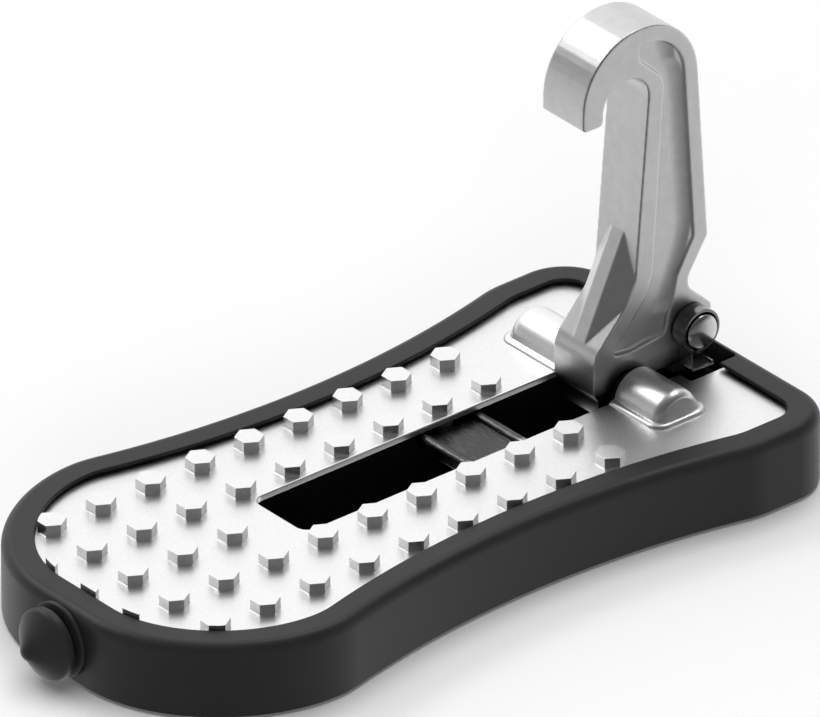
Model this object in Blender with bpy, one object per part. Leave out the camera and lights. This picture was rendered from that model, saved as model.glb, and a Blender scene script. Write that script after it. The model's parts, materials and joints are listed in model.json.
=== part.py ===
"""Folding latch step: a dog-bone foot pedal whose hook folds down into a slot.

Every number is in millimetres. Drawings use the axle frame: X along the pedal
from the hook's axle towards the rear, Y across it, Z up from the tread surface.
The pedal_frame empty puts that frame in place, so that the whole object's box
stands on the world origin.
"""

import math

import bmesh
import bpy
from mathutils import Matrix, Vector

MM = 0.001
GAP = 0.3
BIG = 40.0

# Pedal outline, measured on the inner edge of the rim.
FRONT_X = -126.6
FRONT_FLAT = 7.8
SHOULDER_X = -98.9
REAR_SHOULDER_X = 6.5
REAR_X = 18.9
HALF_WIDTH = 33.4
REAR_CORNER = 5.0
FRONT_CORNER_POWER = 1.86
WAIST_X = -46.0
WAIST_HALF = 27.05
WAIST_RADIUS = 207.0

# Casing section.
RIM_WIDTH = 6.3
RIM_TOP = 1.4
RIM_ROUND = 2.3
RIM_INNER_EDGE = 0.25
LIP_BOTTOM = 0.7
LIP_REACH = 1.6
CASING_BOTTOM = -14.05
BOTTOM_EDGE = 0.6
WALL = 2.6
WEB_TOP = -1.5
WEB_BOTTOM = -3.3

# Tread plate.
PLATE_BOTTOM = -1.2
SUNK = -0.7
STUD_PITCH = 12.0
STUD_FIRST_X = -103.46
STUD_RADIUS = 2.91
STUD_HEIGHT = 2.17
STUD_EDGE = 0.3
STUD_ROWS = ((-24.0, -1, 7), (-12.0, -2, 7), (0.0, -2, 1), (12.0, -2, 7), (24.0, -1, 7))

# Slot for the folded hook, with a wider notch at its rear.
SLOT_FRONT = -79.9
SLOT_MIDDLE = 0.5
SLOT_HALF = 7.85
SLOT_CORNER = 2.5
NOTCH_X = 11.9
NOTCH_HALF = 10.7
NOTCH_REAR = 23.2
NOTCH_FLOOR = -5.0
WELL_REAR = 8.7
WELL_WALL = 1.75
STOP_TOP = 1.1
STOP_FRONT = 12.5
STOP_REAR = 19.8
STOP_HALF = 5.2

# Hook axle and what carries it.
AXLE_RADIUS = 3.0
AXLE_HALF = 19.3
DOME_X = 0.9
DOME_RADIUS = 5.4
DOME_ENDS = {-1.0: 20.4, 1.0: 23.8}
DOME_ROUND = 1.7
DOME_SKIRT = 6.7
DOME_SKIRT_OUT = 1.4
DOME_CORNER = 2.0
DOME_SKIRT_TOP = 1.3
PAD_HALF = 9.4
PAD_INNER = 9.7
PAD_OUTER = 21.6
PAD_BOTTOM = -3.2
KEEPER_BOTTOM = -5.6
KEEPER_SCREW_X = 6.3
KEEPER_SCREW_Y = 15.5
BUSH_RADIUS = 4.1
WASHER_RADIUS = 4.3

# Hook.
HOOK_HALF = 5.9
HOOK_EDGE = 0.6
BOSS_RADIUS = 6.9
POCKET_FLOOR = 4.8
RIB_HALF = 1.75
RIB_BASE = 5.4
RIB_SET_BACK = 2.9

# Latch pin and its spring clip.
PIN_X = 15.5
PIN_Z = 8.8
PIN_SHANK = 2.4
PIN_HEAD = 3.55
PIN_DOME = 1.3
PIN_FAR_END = 7.6
CLIP_EYE = 4.2
CLIP_HALF_THICK = 0.3
CLIP_WIDTH = 3.3
CLIP_LEG_X = 13.2
CLIP_FOOT_Z = 0.95
CLIP_FOOT_END = 18.1
CLIP_BEAD = 0.6

# Bridge across the slot.
BRIDGE_FRONT = -39.0
BRIDGE_REAR = -23.5
BRIDGE_BOTTOM = -4.4
BRIDGE_TOP = -2.8
BRIDGE_LIP_TOP = -1.55
BRIDGE_LIP = 1.9
BRIDGE_HALF = 13.5
BRIDGE_SCREW_Y = 10.9

# Hammer cone on the front wall.
HAMMER_Z = -6.2
HAMMER_COLLAR = 7.5
HAMMER_RIM = 7.2
HAMMER_NECK = 5.6
HAMMER_SHANK = 2.0
HAMMER_NUT_FLATS = 7.0

# Bottom cover, its screws and feet.
COVER_TOP = -11.35
COVER_SCREWS = ((-114.0, 13.0), (-47.0, 18.0), (14.0, 26.0))
FEET = ((-97.0, 24.0), (-6.0, 26.5))
FOOT_RADIUS = 5.0
FOOT_DROP = 0.4
SCREW_SHANK = 1.25
SCREW_HEAD = 2.6

CASING_FRONT = FRONT_X - RIM_WIDTH
CASING_REAR = REAR_X + RIM_WIDTH
HAMMER_TIP = CASING_FRONT - 9.2
LENGTH_MIDDLE = (HAMMER_TIP + CASING_REAR) / 2.0
FLOOR = CASING_BOTTOM - FOOT_DROP

BLACK = (0.018, 0.018, 0.019, 1.0)
RUBBER = (0.012, 0.012, 0.012, 1.0)
BRIGHT = (0.86, 0.86, 0.86, 1.0)
CAST = (0.50, 0.50, 0.50, 1.0)
STEEL = (0.42, 0.42, 0.43, 1.0)
BRONZE = (0.45, 0.33, 0.16, 1.0)


# ---------------------------------------------------------------- outlines

def arc(centre, radius, start, end, steps):
    """Points of a circular arc, in degrees, both ends included."""
    points = []
    for step in range(steps + 1):
        angle = math.radians(start + (end - start) * step / steps)
        points.append((centre[0] + radius * math.cos(angle), centre[1] + radius * math.sin(angle)))
    return points


def rounded(corners, degrees_per_step=15.0):
    """Closed outline from (a, b, radius) corners, each one filleted with its radius."""
    points = []
    for index, (a, b, radius) in enumerate(corners):
        here = Vector((a, b))
        before = Vector(corners[index - 1][:2]) - here
        after = Vector(corners[(index + 1) % len(corners)][:2]) - here
        before.normalize()
        after.normalize()
        half_angle = before.angle(after) / 2.0
        if radius <= 0.0:
            points.append((a, b))
            continue
        reach = radius / math.tan(half_angle)
        first = here + before * reach
        last = here + after * reach
        centre = here + (before + after).normalized() * radius / math.sin(half_angle)
        sweep = math.degrees(math.pi - 2.0 * half_angle)
        steps = max(1, math.ceil(sweep / degrees_per_step))
        start = first - centre
        turn = start.angle_signed(last - centre)
        for step in range(steps + 1):
            spoke = start.copy()
            spoke.rotate(Matrix.Rotation(-turn * step / steps, 2))
            points.append(tuple(centre + spoke))
    return points


def signed_area(points):
    total = 0.0
    for (a, b), (c, d) in zip(points, points[1:] + points[:1]):
        total += a * d - b * c
    return total / 2.0


def offset(points, distance):
    """Closed outline moved outwards by distance, each edge kept parallel to itself."""
    outward = 1.0 if signed_area(points) > 0.0 else -1.0
    moved = []
    for index, point in enumerate(points):
        here = Vector(point)
        arriving = (here - Vector(points[index - 1])).normalized()
        leaving = (Vector(points[(index + 1) % len(points)]) - here).normalized()
        normal_in = Vector((arriving.y, -arriving.x)) * outward
        normal_out = Vector((leaving.y, -leaving.x)) * outward
        miter = (normal_in + normal_out) / (1.0 + normal_in.dot(normal_out))
        moved.append(tuple(here + miter * distance))
    return moved


def box_outline(low, high):
    return [(low[0], low[1]), (high[0], low[1]), (high[0], high[1]), (low[0], high[1])]


def shoulder_arc(shoulder_x, steps):
    """Convex arc from a shoulder's widest point to the waist's long concave arc."""
    rise = HALF_WIDTH - WAIST_HALF
    run = shoulder_x - WAIST_X
    radius = (run * run + rise * rise) / (2.0 * rise) - WAIST_RADIUS
    centre = Vector((shoulder_x, HALF_WIDTH - radius))
    waist_centre = Vector((WAIST_X, WAIST_HALF + WAIST_RADIUS))
    towards = waist_centre - centre
    end = math.degrees(math.atan2(towards.y, towards.x))
    return arc(centre, radius, 90.0, end, steps)


def pedal_outline(distance=0.0):
    """The dog bone: the rim's inner edge, moved outwards by distance."""
    half = []
    corner_steps = 14
    for step in range(corner_steps + 1):
        angle = math.pi / 2.0 * step / corner_steps
        power = 2.0 / FRONT_CORNER_POWER
        x = SHOULDER_X - (SHOULDER_X - FRONT_X) * math.cos(angle) ** power
        y = FRONT_FLAT + (HALF_WIDTH - FRONT_FLAT) * math.sin(angle) ** power
        half.append((x, y))
    front = shoulder_arc(SHOULDER_X, 3)
    rear = shoulder_arc(REAR_SHOULDER_X, 3)
    waist_centre = (WAIST_X, WAIST_HALF + WAIST_RADIUS)
    start = math.degrees(math.asin((front[-1][0] - WAIST_X) / WAIST_RADIUS)) - 90.0
    end = math.degrees(math.asin((rear[-1][0] - WAIST_X) / WAIST_RADIUS)) - 90.0
    waist = arc(waist_centre, WAIST_RADIUS, start, end, 16)
    half += front[1:] + waist[1:-1] + rear[::-1]
    corner_centre = (REAR_X - REAR_CORNER, HALF_WIDTH - REAR_CORNER)
    half += arc(corner_centre, REAR_CORNER, 90.0, 0.0, 5)
    mirrored = [(x, -y) for x, y in reversed(half)]
    return offset(half + mirrored, distance)


def slot_sides(margin=0.0):
    """Y of the slot's right and left side, moved outwards by margin."""
    return SLOT_MIDDLE - SLOT_HALF - margin, SLOT_MIDDLE + SLOT_HALF + margin


def slot_outline(margin, front, rear, corner):
    right, left = slot_sides(margin)
    return rounded([
        (rear, right, 0.0), (rear, left, 0.0), (front, left, corner), (front, right, corner),
    ], 30.0)


def notch_outline(front):
    """Tee shape where the slot widens towards the rear."""
    right, left = slot_sides()
    return [
        (front, right), (NOTCH_X, right), (NOTCH_X, -NOTCH_HALF), (NOTCH_REAR, -NOTCH_HALF),
        (NOTCH_REAR, NOTCH_HALF), (NOTCH_X, NOTCH_HALF), (NOTCH_X, left), (front, left),
    ]


def hook_outline():
    """Side view of the hook as (x, z): tip, head, back, lug, boss, cheek, arm, throat."""
    return rounded([
        (-10.9, 59.55, 0.9), (-10.9, 77.0, 13.9), (16.35, 77.0, 14.2),
        (19.95, 26.7, 1.5), (14.3, 17.8, 3.2), (20.95, 11.5, 0.9), (20.95, 1.45, 0.9),
        (BOSS_RADIUS, 1.45, 0.4), (BOSS_RADIUS, -BOSS_RADIUS, BOSS_RADIUS - 0.1),
        (-BOSS_RADIUS, -BOSS_RADIUS, BOSS_RADIUS - 0.1), (-BOSS_RADIUS, 0.2, 0.4),
        (-7.95, 1.6, 0.8), (-7.95, 9.7, 5.0), (1.87, 20.6, 8.0),
        (5.68, 67.1, 5.3), (-5.5, 67.1, 5.3), (-6.1, 59.5, 0.9),
    ])


def pocket_outline():
    """Recess on each side of the hook, which leaves a border along every edge."""
    return rounded([
        (3.1, 70.1, 1.3), (2.6, 73.4, 1.3), (13.3, 73.4, 9.6), (16.5, 27.6, 1.5),
        (12.3, 20.4, 4.0), (9.7, 9.0, 1.4), (1.0, 8.0, 1.5), (-3.9, 8.6, 0.9),
        (4.9, 18.6, 1.5), (6.5, 23.7, 3.0), (9.1, 64.3, 4.0),
    ])


def band_outline(path, half_widths):
    """Outline of a bent strip whose middle line is path."""
    left = []
    right = []
    for index, point in enumerate(path):
        here = Vector(point)
        arriving = (here - Vector(path[max(index - 1, 0)]))
        leaving = (Vector(path[min(index + 1, len(path) - 1)]) - here)
        arriving = (arriving if index else leaving).normalized()
        leaving = (leaving if index < len(path) - 1 else arriving).normalized()
        normal_in = Vector((-arriving.y, arriving.x))
        normal_out = Vector((-leaving.y, leaving.x))
        miter = (normal_in + normal_out) / (1.0 + normal_in.dot(normal_out))
        left.append(tuple(here + miter * half_widths[index]))
        right.append(tuple(here - miter * half_widths[index]))
    return left + right[::-1]


# ------------------------------------------------------------ solid shapes

def loft(rings):
    """Closed solid through rings of 3D points, with flat ends."""
    mesh = bmesh.new()
    loops = []
    for ring in rings:
        loops.append([mesh.verts.new(Vector(point) * MM) for point in ring])
    count = len(loops[0])
    for lower, upper in zip(loops, loops[1:]):
        for index in range(count):
            after = (index + 1) % count
            mesh.faces.new((lower[index], lower[after], upper[after], upper[index]))
    mesh.faces.new(loops[0][::-1])
    mesh.faces.new(loops[-1])
    bmesh.ops.recalc_face_normals(mesh, faces=mesh.faces)
    return mesh


def along_z(outline, low, high):
    return loft([[(x, y, low) for x, y in outline], [(x, y, high) for x, y in outline]])


def along_y(outline, low, high):
    return loft([[(x, low, z) for x, z in outline], [(x, high, z) for x, z in outline]])


def block(low, high):
    return along_z(box_outline(low, high), low[2], high[2])


def turned(profile, axis, centre=(0.0, 0.0, 0.0), sides=24):
    """Solid of revolution from (position along the axis, radius) pairs."""
    rings = []
    for along, radius in profile:
        ring = []
        for side in range(sides):
            angle = 2.0 * math.pi * side / sides
            first = radius * math.cos(angle)
            second = radius * math.sin(angle)
            place = {"X": (along, first, second), "Y": (first, along, second), "Z": (first, second, along)}
            ring.append(Vector(place[axis]) + Vector(centre))
        rings.append(ring)
    return loft(rings)


def together(meshes):
    """One mesh that holds several separate closed solids."""
    joined = meshes[0]
    for mesh in meshes[1:]:
        scratch = bpy.data.meshes.new("scratch")
        mesh.to_mesh(scratch)
        joined.from_mesh(scratch)
        mesh.free()
        bpy.data.meshes.remove(scratch)
    return joined


def both_sides(make, *sizes):
    """A shape and its twin across the centre plane; make(side, ...) gets -1 or +1."""
    return together([make(side, *sizes) for side in (-1.0, 1.0)])


# ------------------------------------------------------------------ objects

def empty(name, place, parent=None):
    frame = bpy.data.objects.new(name, None)
    bpy.context.collection.objects.link(frame)
    frame.location = Vector(place) * MM
    frame.parent = parent
    return frame


def material(name, colour, roughness, metallic):
    made = bpy.data.materials.new(name)
    made.use_nodes = True
    shader = made.node_tree.nodes["Principled BSDF"]
    shader.inputs["Base Color"].default_value = colour
    shader.inputs["Roughness"].default_value = roughness
    shader.inputs["Metallic"].default_value = metallic
    return made


def solid(name, mesh, parent, look):
    """A finished sub-part: its own object with its own material."""
    data = bpy.data.meshes.new(name)
    mesh.to_mesh(data)
    mesh.free()
    data.shade_smooth()
    data.set_sharp_from_angle(angle=math.radians(35.0))
    made = bpy.data.objects.new(name, data)
    bpy.context.collection.objects.link(made)
    made.parent = parent
    data.materials.append(material(name, *look))
    return made


def tool(target, mesh, operation):
    """A Boolean on target by a hidden guide solid."""
    name = f"guide_{target.name}_{len(target.modifiers)}"
    data = bpy.data.meshes.new(name)
    mesh.to_mesh(data)
    mesh.free()
    guide = bpy.data.objects.new(name, data)
    bpy.context.collection.objects.link(guide)
    guide.parent = target.parent
    guide.hide_render = True
    guide.display_type = "WIRE"
    change = target.modifiers.new(name, "BOOLEAN")
    change.operation = operation
    change.solver = "EXACT"
    change.object = guide
    return guide


def cut(target, mesh):
    tool(target, mesh, "DIFFERENCE")


def add(target, mesh):
    return tool(target, mesh, "UNION")


def keep(target, mesh):
    tool(target, mesh, "INTERSECT")


# -------------------------------------------------------------------- pedal

def cover_screw_places():
    return [(x, side * y) for x, y in COVER_SCREWS for side in (-1.0, 1.0)]


def foot_places():
    return [(x, side * y) for x, y in FEET for side in (-1.0, 1.0)]


def posts(places, radius, low, high, sides=20):
    return together([turned([(low, radius), (high, radius)], "Z", (x, y, 0.0), sides) for x, y in places])


def casing_shell():
    """The casing's outside: bottom edge, wall, round shoulder, flat rim and the lip over the plate."""
    section = [(RIM_WIDTH - BOTTOM_EDGE, CASING_BOTTOM), (RIM_WIDTH, CASING_BOTTOM + BOTTOM_EDGE)]
    for degrees in (0.0, 30.0, 60.0, 90.0):
        angle = math.radians(degrees)
        across = RIM_WIDTH - RIM_ROUND * (1.0 - math.cos(angle))
        section.append((across, RIM_TOP - RIM_ROUND * (1.0 - math.sin(angle))))
    section += [(RIM_INNER_EDGE, RIM_TOP), (0.0, RIM_TOP - RIM_INNER_EDGE), (0.0, LIP_BOTTOM)]
    section += [(LIP_REACH, LIP_BOTTOM), (LIP_REACH, WEB_TOP)]
    return loft([[(x, y, z) for x, y in pedal_outline(out)] for out, z in section])


def make_casing(frame):
    casing = solid("casing", casing_shell(), frame, (BLACK, 0.5, 0.0))
    cavity = pedal_outline(RIM_WIDTH - WALL)
    cut(casing, along_z(cavity, CASING_BOTTOM - 1.0, WEB_BOTTOM))
    inside = WEB_TOP - 0.6
    well_right, well_left = slot_sides(GAP + WELL_WALL)
    well_front = SLOT_FRONT - GAP - WELL_WALL
    well_rear = WELL_REAR + WELL_WALL
    add(casing, block((well_front, well_right, CASING_BOTTOM + 0.2), (well_rear, well_left, inside)))
    rear_half = NOTCH_HALF + WELL_WALL
    floor_rear = REAR_X + RIM_WIDTH - 1.0
    add(casing, block((WELL_REAR - 0.5, -rear_half, NOTCH_FLOOR - 2.0), (floor_rear, rear_half, inside)))
    shelf_half = BRIDGE_HALF + 2.0
    shelf_low = (BRIDGE_FRONT - 2.0, -shelf_half, BRIDGE_BOTTOM - 2.2)
    bridge_screws = [(bridge_middle(), -BRIDGE_SCREW_Y), (bridge_middle(), BRIDGE_SCREW_Y)]
    add(casing, block(shelf_low, (BRIDGE_REAR + 2.0, shelf_half, inside)))
    add(casing, posts(bridge_screws, 2.9, -9.0, -5.5))
    add(casing, posts(cover_screw_places(), 3.6, COVER_TOP + GAP, inside))
    cut_casing_openings(casing)
    return casing


def cut_casing_openings(casing):
    well = slot_outline(GAP, SLOT_FRONT - GAP, WELL_REAR, SLOT_CORNER + GAP)
    cut(casing, along_z(well, -BIG, BIG))
    cut(casing, along_z(notch_outline(WELL_REAR - 1.0), NOTCH_FLOOR, BIG))
    add(casing, block((STOP_FRONT, -STOP_HALF, NOTCH_FLOOR - 1.0), (STOP_REAR, STOP_HALF, STOP_TOP)))
    bridge_half = BRIDGE_HALF + GAP
    bed_low = (BRIDGE_FRONT - GAP, -bridge_half, BRIDGE_BOTTOM - GAP)
    cut(casing, block(bed_low, (BRIDGE_REAR + GAP, bridge_half, 0.0)))
    cut(casing, both_sides(pad_opening))
    cut(casing, both_sides(axle_notch))
    cut(casing, posts(cover_screw_places(), SCREW_SHANK + GAP, -BIG, 0.0))
    cut(casing, posts(cover_screw_places(), SCREW_HEAD + GAP, -5.6, 0.0))
    bridge_screws = [(bridge_middle(), -BRIDGE_SCREW_Y), (bridge_middle(), BRIDGE_SCREW_Y)]
    cut(casing, posts(bridge_screws, 1.3, -8.4, 0.0))
    shank = HAMMER_SHANK + GAP
    cut(casing, turned([(-BIG * 4.0, shank), (CASING_FRONT + 9.0, shank)], "X", (0.0, 0.0, HAMMER_Z)))
    nut = HAMMER_NUT_FLATS / 2.0 + GAP
    inner_wall = CASING_FRONT + WALL
    nut_low = (inner_wall + 0.05, -nut * 1.2, HAMMER_Z - nut)
    cut(casing, block(nut_low, (inner_wall + 4.4, nut * 1.2, HAMMER_Z + nut)))


def pad_opening(side):
    inner = side * (PAD_INNER - GAP)
    outer = side * (PAD_OUTER + GAP)
    edge = PAD_HALF + GAP
    return block((-edge, min(inner, outer), -8.0), (edge, max(inner, outer), 0.0))


def axle_notch(side):
    inner = side * (PAD_INNER - 4.0)
    outer = side * (PAD_INNER + 0.2)
    edge = AXLE_RADIUS + 2.0 * GAP
    return block((-edge, min(inner, outer), -edge), (edge, max(inner, outer), 0.0))


def stud(x, y):
    """One hexagonal grip stud with a small chamfer round its top."""
    rings = []
    shoulder = STUD_HEIGHT - STUD_EDGE
    for radius, z in ((STUD_RADIUS, SUNK), (STUD_RADIUS, shoulder), (STUD_RADIUS - STUD_EDGE, STUD_HEIGHT)):
        ring = []
        for side in range(6):
            angle = math.radians(30.0 + 60.0 * side)
            ring.append((x + radius * math.cos(angle), y + radius * math.sin(angle), z))
        rings.append(ring)
    return loft(rings)


def stud_places():
    places = []
    for y, first, last in STUD_ROWS:
        for index in range(first, last + 1):
            places.append((STUD_FIRST_X + STUD_PITCH * index, y))
    return places


def dome(side):
    """Barrel over one end of the axle, with a bevelled outer end."""
    end = DOME_ENDS[side]
    rings = []
    for y, radius in ((SLOT_HALF - 2.0, DOME_RADIUS), (end - DOME_ROUND, DOME_RADIUS),
                      (end - 0.4, DOME_RADIUS - 0.9), (end, DOME_RADIUS - DOME_ROUND)):
        outline = [(radius, SUNK)] + arc((0.0, 0.0), radius, 0.0, 180.0, 16) + [(-radius, SUNK)]
        rings.append([(DOME_X + x, side * y, z) for x, z in outline])
    return loft(rings)


def dome_skirt(side):
    """Sloping foot along both sides and the end of a dome."""
    top_half = math.sqrt(DOME_RADIUS ** 2 - DOME_SKIRT_TOP ** 2) - 0.1
    rings = []
    for half, out, z in ((DOME_SKIRT, DOME_SKIRT_OUT, SUNK + 0.1), (DOME_SKIRT, DOME_SKIRT_OUT, 0.05),
                         (top_half, -0.3, DOME_SKIRT_TOP)):
        near = side * (SLOT_HALF - 1.9)
        far = side * (DOME_ENDS[side] + out)
        outline = rounded([
            (DOME_X - half, near, 0.0), (DOME_X + half, near, 0.0),
            (DOME_X + half, far, DOME_CORNER), (DOME_X - half, far, DOME_CORNER),
        ], 30.0)
        rings.append([(x, y, z) for x, y in outline])
    return loft(rings)


def axle_pad(side):
    """Thick seat under the plate, which the axle keeper is screwed to."""
    low = min(side * PAD_INNER, side * PAD_OUTER)
    high = max(side * PAD_INNER, side * PAD_OUTER)
    return block((-PAD_HALF, low, PAD_BOTTOM), (PAD_HALF, high, -0.6))


def axle_channel(side):
    """Round-topped channel that the axle is laid into from below."""
    reach = AXLE_RADIUS + GAP
    top = arc((0.0, 0.0), reach, 0.0, 180.0, 12)
    outline = [(reach, -BIG)] + top + [(-reach, -BIG)]
    ends = sorted((side * (SLOT_HALF - 2.0), side * (AXLE_HALF + GAP)))
    return along_y(outline, *ends)


def keeper_screw_places():
    return [(x, y) for x in (-KEEPER_SCREW_X, KEEPER_SCREW_X) for y in (-KEEPER_SCREW_Y, KEEPER_SCREW_Y)]


def make_tread_plate(frame):
    outline = pedal_outline(LIP_REACH - GAP)
    plate = solid("tread_plate", along_z(outline, PLATE_BOTTOM, 0.0), frame, (BRIGHT, 0.35, 1.0))
    studs = add(plate, together([stud(x, y) for x, y in stud_places()]))
    keep(studs, along_z(pedal_outline(-GAP - 0.05), -BIG, BIG))
    add(plate, both_sides(dome_skirt))
    add(plate, both_sides(dome))
    add(plate, both_sides(axle_pad))
    add(plate, posts(cover_screw_places(), SCREW_HEAD, -5.2, -0.6))
    cut(plate, along_z(slot_outline(0.0, SLOT_FRONT, BIG, SLOT_CORNER), -BIG, BIG))
    cut(plate, along_z(box_outline((NOTCH_X, -NOTCH_HALF), (BIG, NOTCH_HALF)), -BIG, BIG))
    cut(plate, both_sides(axle_channel))
    cut(plate, posts(cover_screw_places(), SCREW_SHANK + GAP, -BIG, -1.9, 16))
    cut(plate, posts(keeper_screw_places(), 1.3, -BIG, -1.3, 12))
    return plate


def make_axle(frame):
    edge = 0.5
    profile = [
        (-AXLE_HALF, AXLE_RADIUS - edge), (-AXLE_HALF + edge, AXLE_RADIUS),
        (AXLE_HALF - edge, AXLE_RADIUS), (AXLE_HALF, AXLE_RADIUS - edge),
    ]
    solid("hook_axle", turned(profile, "Y"), frame, (STEEL, 0.3, 1.0))
    right, left = slot_sides(-GAP)
    for label, side, outer in (("left", 1.0, left), ("right", -1.0, right)):
        inner = side * (HOOK_HALF + GAP)
        washer = turned([(inner, WASHER_RADIUS), (outer, WASHER_RADIUS)], "Y")
        made = solid(f"thrust_washer_{label}", washer, frame, (BRONZE, 0.4, 1.0))
        cut(made, turned([(-BIG, AXLE_RADIUS + GAP), (BIG, AXLE_RADIUS + GAP)], "Y"))
        make_keeper(frame, label, side)


def make_keeper(frame, label, side):
    """Flat plate that closes the axle channel from below, and its two screws."""
    near = side * (PAD_INNER + 0.5)
    far = side * (PAD_OUTER - 0.6)
    high = (PAD_HALF - GAP, max(near, far), PAD_BOTTOM - GAP)
    shape = block((-PAD_HALF + GAP, min(near, far), KEEPER_BOTTOM), high)
    keeper = solid(f"axle_keeper_{label}", shape, frame, (STEEL, 0.4, 1.0))
    places = [(x, side * KEEPER_SCREW_Y) for x in (-KEEPER_SCREW_X, KEEPER_SCREW_X)]
    cut(keeper, posts(places, 1.3, -BIG, BIG, 12))
    for end, (x, y) in zip(("front", "rear"), places):
        under_head = KEEPER_BOTTOM - GAP
        profile = [(under_head - 1.2, 1.6), (under_head - 0.9, 1.9), (under_head, 1.9)]
        profile += [(under_head, 1.0), (-1.6, 1.0)]
        screw = turned(profile, "Z", (x, y, 0.0), 12)
        solid(f"keeper_screw_{label}_{end}", screw, frame, (STEEL, 0.35, 1.0))


def bridge_middle():
    return (BRIDGE_FRONT + BRIDGE_REAR) / 2.0


def make_bridge(frame):
    """Metal strip under the plate, dished between two raised round lips."""
    lip_in_front = BRIDGE_FRONT + BRIDGE_LIP
    lip_in_rear = BRIDGE_REAR - BRIDGE_LIP
    section = rounded([
        (BRIDGE_FRONT, BRIDGE_BOTTOM, 0.3), (BRIDGE_FRONT, BRIDGE_LIP_TOP, 0.8),
        (lip_in_front, BRIDGE_LIP_TOP, 0.8), (lip_in_front + 0.9, BRIDGE_TOP, 0.6),
        (lip_in_rear - 0.9, BRIDGE_TOP, 0.6), (lip_in_rear, BRIDGE_LIP_TOP, 0.8),
        (BRIDGE_REAR, BRIDGE_LIP_TOP, 0.8), (BRIDGE_REAR, BRIDGE_BOTTOM, 0.3),
    ], 30.0)
    bridge = solid("slot_bridge", along_y(section, -BRIDGE_HALF, BRIDGE_HALF), frame, (BRIGHT, 0.35, 1.0))
    places = [(bridge_middle(), -BRIDGE_SCREW_Y), (bridge_middle(), BRIDGE_SCREW_Y)]
    cut(bridge, posts(places, 1.3, -BIG, BIG, 12))
    for label, (x, y) in zip(("right", "left"), places):
        head = BRIDGE_TOP + GAP
        profile = [(-8.1, 1.0), (head, 1.0), (head, 2.1), (head + 0.6, 2.1), (head + 0.9, 1.7)]
        solid(f"bridge_screw_{label}", turned(profile, "Z", (x, y, 0.0), 12), frame, (STEEL, 0.35, 1.0))


def make_cover(frame):
    outline = pedal_outline(RIM_WIDTH - WALL - GAP)
    cover = solid("bottom_cover", along_z(outline, CASING_BOTTOM, COVER_TOP), frame, (BLACK, 0.55, 0.0))
    window_right, window_left = slot_sides(WELL_WALL + 2.0 * GAP)
    window_front = SLOT_FRONT - WELL_WALL - 2.0 * GAP
    window_rear = WELL_REAR + WELL_WALL + GAP
    cut(cover, block((window_front, window_right, -BIG), (window_rear, window_left, BIG)))
    cut(cover, posts(cover_screw_places(), SCREW_SHANK + GAP, -BIG, BIG, 16))
    cut(cover, posts(cover_screw_places(), SCREW_HEAD + GAP, -BIG, CASING_BOTTOM + 1.5, 20))
    cut(cover, posts(foot_places(), FOOT_RADIUS + GAP, -BIG, CASING_BOTTOM + 0.8, 28))
    for index, (x, y) in enumerate(cover_screw_places(), 1):
        head = CASING_BOTTOM + 1.2
        profile = [
            (CASING_BOTTOM + 0.1, SCREW_HEAD - 0.3), (CASING_BOTTOM + 0.4, SCREW_HEAD),
            (head, SCREW_HEAD), (head, SCREW_SHANK), (-2.2, SCREW_SHANK),
        ]
        solid(f"cover_screw_{index}", turned(profile, "Z", (x, y, 0.0), 16), frame, (STEEL, 0.35, 1.0))
    for index, (x, y) in enumerate(foot_places(), 1):
        profile = [(FLOOR, FOOT_RADIUS - 0.4), (FLOOR + 0.4, FOOT_RADIUS), (CASING_BOTTOM + 0.5, FOOT_RADIUS)]
        solid(f"foot_pad_{index}", turned(profile, "Z", (x, y, 0.0), 28), frame, (RUBBER, 0.8, 0.0))


def make_hammer(frame):
    centre = (0.0, 0.0, HAMMER_Z)
    face = CASING_FRONT - GAP
    collar_face = face - 0.8
    profile = [(collar_face, HAMMER_COLLAR - 0.2), (collar_face + 0.2, HAMMER_COLLAR)]
    collar = turned(profile + [(face, HAMMER_COLLAR)], "X", centre, 40)
    washer = solid("hammer_collar", collar, frame, (BLACK, 0.5, 0.0))
    cut(washer, turned([(-BIG * 5.0, HAMMER_SHANK + GAP), (0.0, HAMMER_SHANK + GAP)], "X", centre))
    neck = collar_face - GAP
    rim_rear = CASING_FRONT - 2.3
    rim_front = rim_rear - 1.9
    tip_arc = arc((HAMMER_TIP + 1.7, 0.0), 1.7, 140.0, 170.0, 2)
    profile = [(CASING_FRONT + 8.2, HAMMER_SHANK), (neck, HAMMER_SHANK), (neck, HAMMER_NECK)]
    profile += [(rim_rear + 0.6, HAMMER_NECK), (rim_rear, HAMMER_RIM - 0.3)]
    profile += [(rim_rear - 0.4, HAMMER_RIM), (rim_front, HAMMER_RIM)] + tip_arc
    solid("hammer_cone", turned(profile, "X", centre, 40), frame, (BLACK, 0.5, 0.0))
    across = HAMMER_NUT_FLATS / 2.0 / math.cos(math.pi / 6.0)
    nut_front = CASING_FRONT + WALL + GAP + 0.1
    nut = solid("hammer_nut", turned([(nut_front, across), (nut_front + 3.2, across)], "X", centre, 6),
                frame, (STEEL, 0.35, 1.0))
    cut(nut, turned([(-BIG * 5.0, HAMMER_SHANK + GAP), (0.0, HAMMER_SHANK + GAP)], "X", centre))


# --------------------------------------------------------------------- hook

def hook_body():
    """The cast hook's full thickness, with a chamfer round both faces."""
    outline = hook_outline()
    inner = offset(outline, -HOOK_EDGE)
    rings = []
    for ring, y in ((inner, -HOOK_HALF), (outline, -HOOK_HALF + HOOK_EDGE),
                    (outline, HOOK_HALF - HOOK_EDGE), (inner, HOOK_HALF)):
        rings.append([(x, y, z) for x, z in ring])
    return loft(rings)


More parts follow.
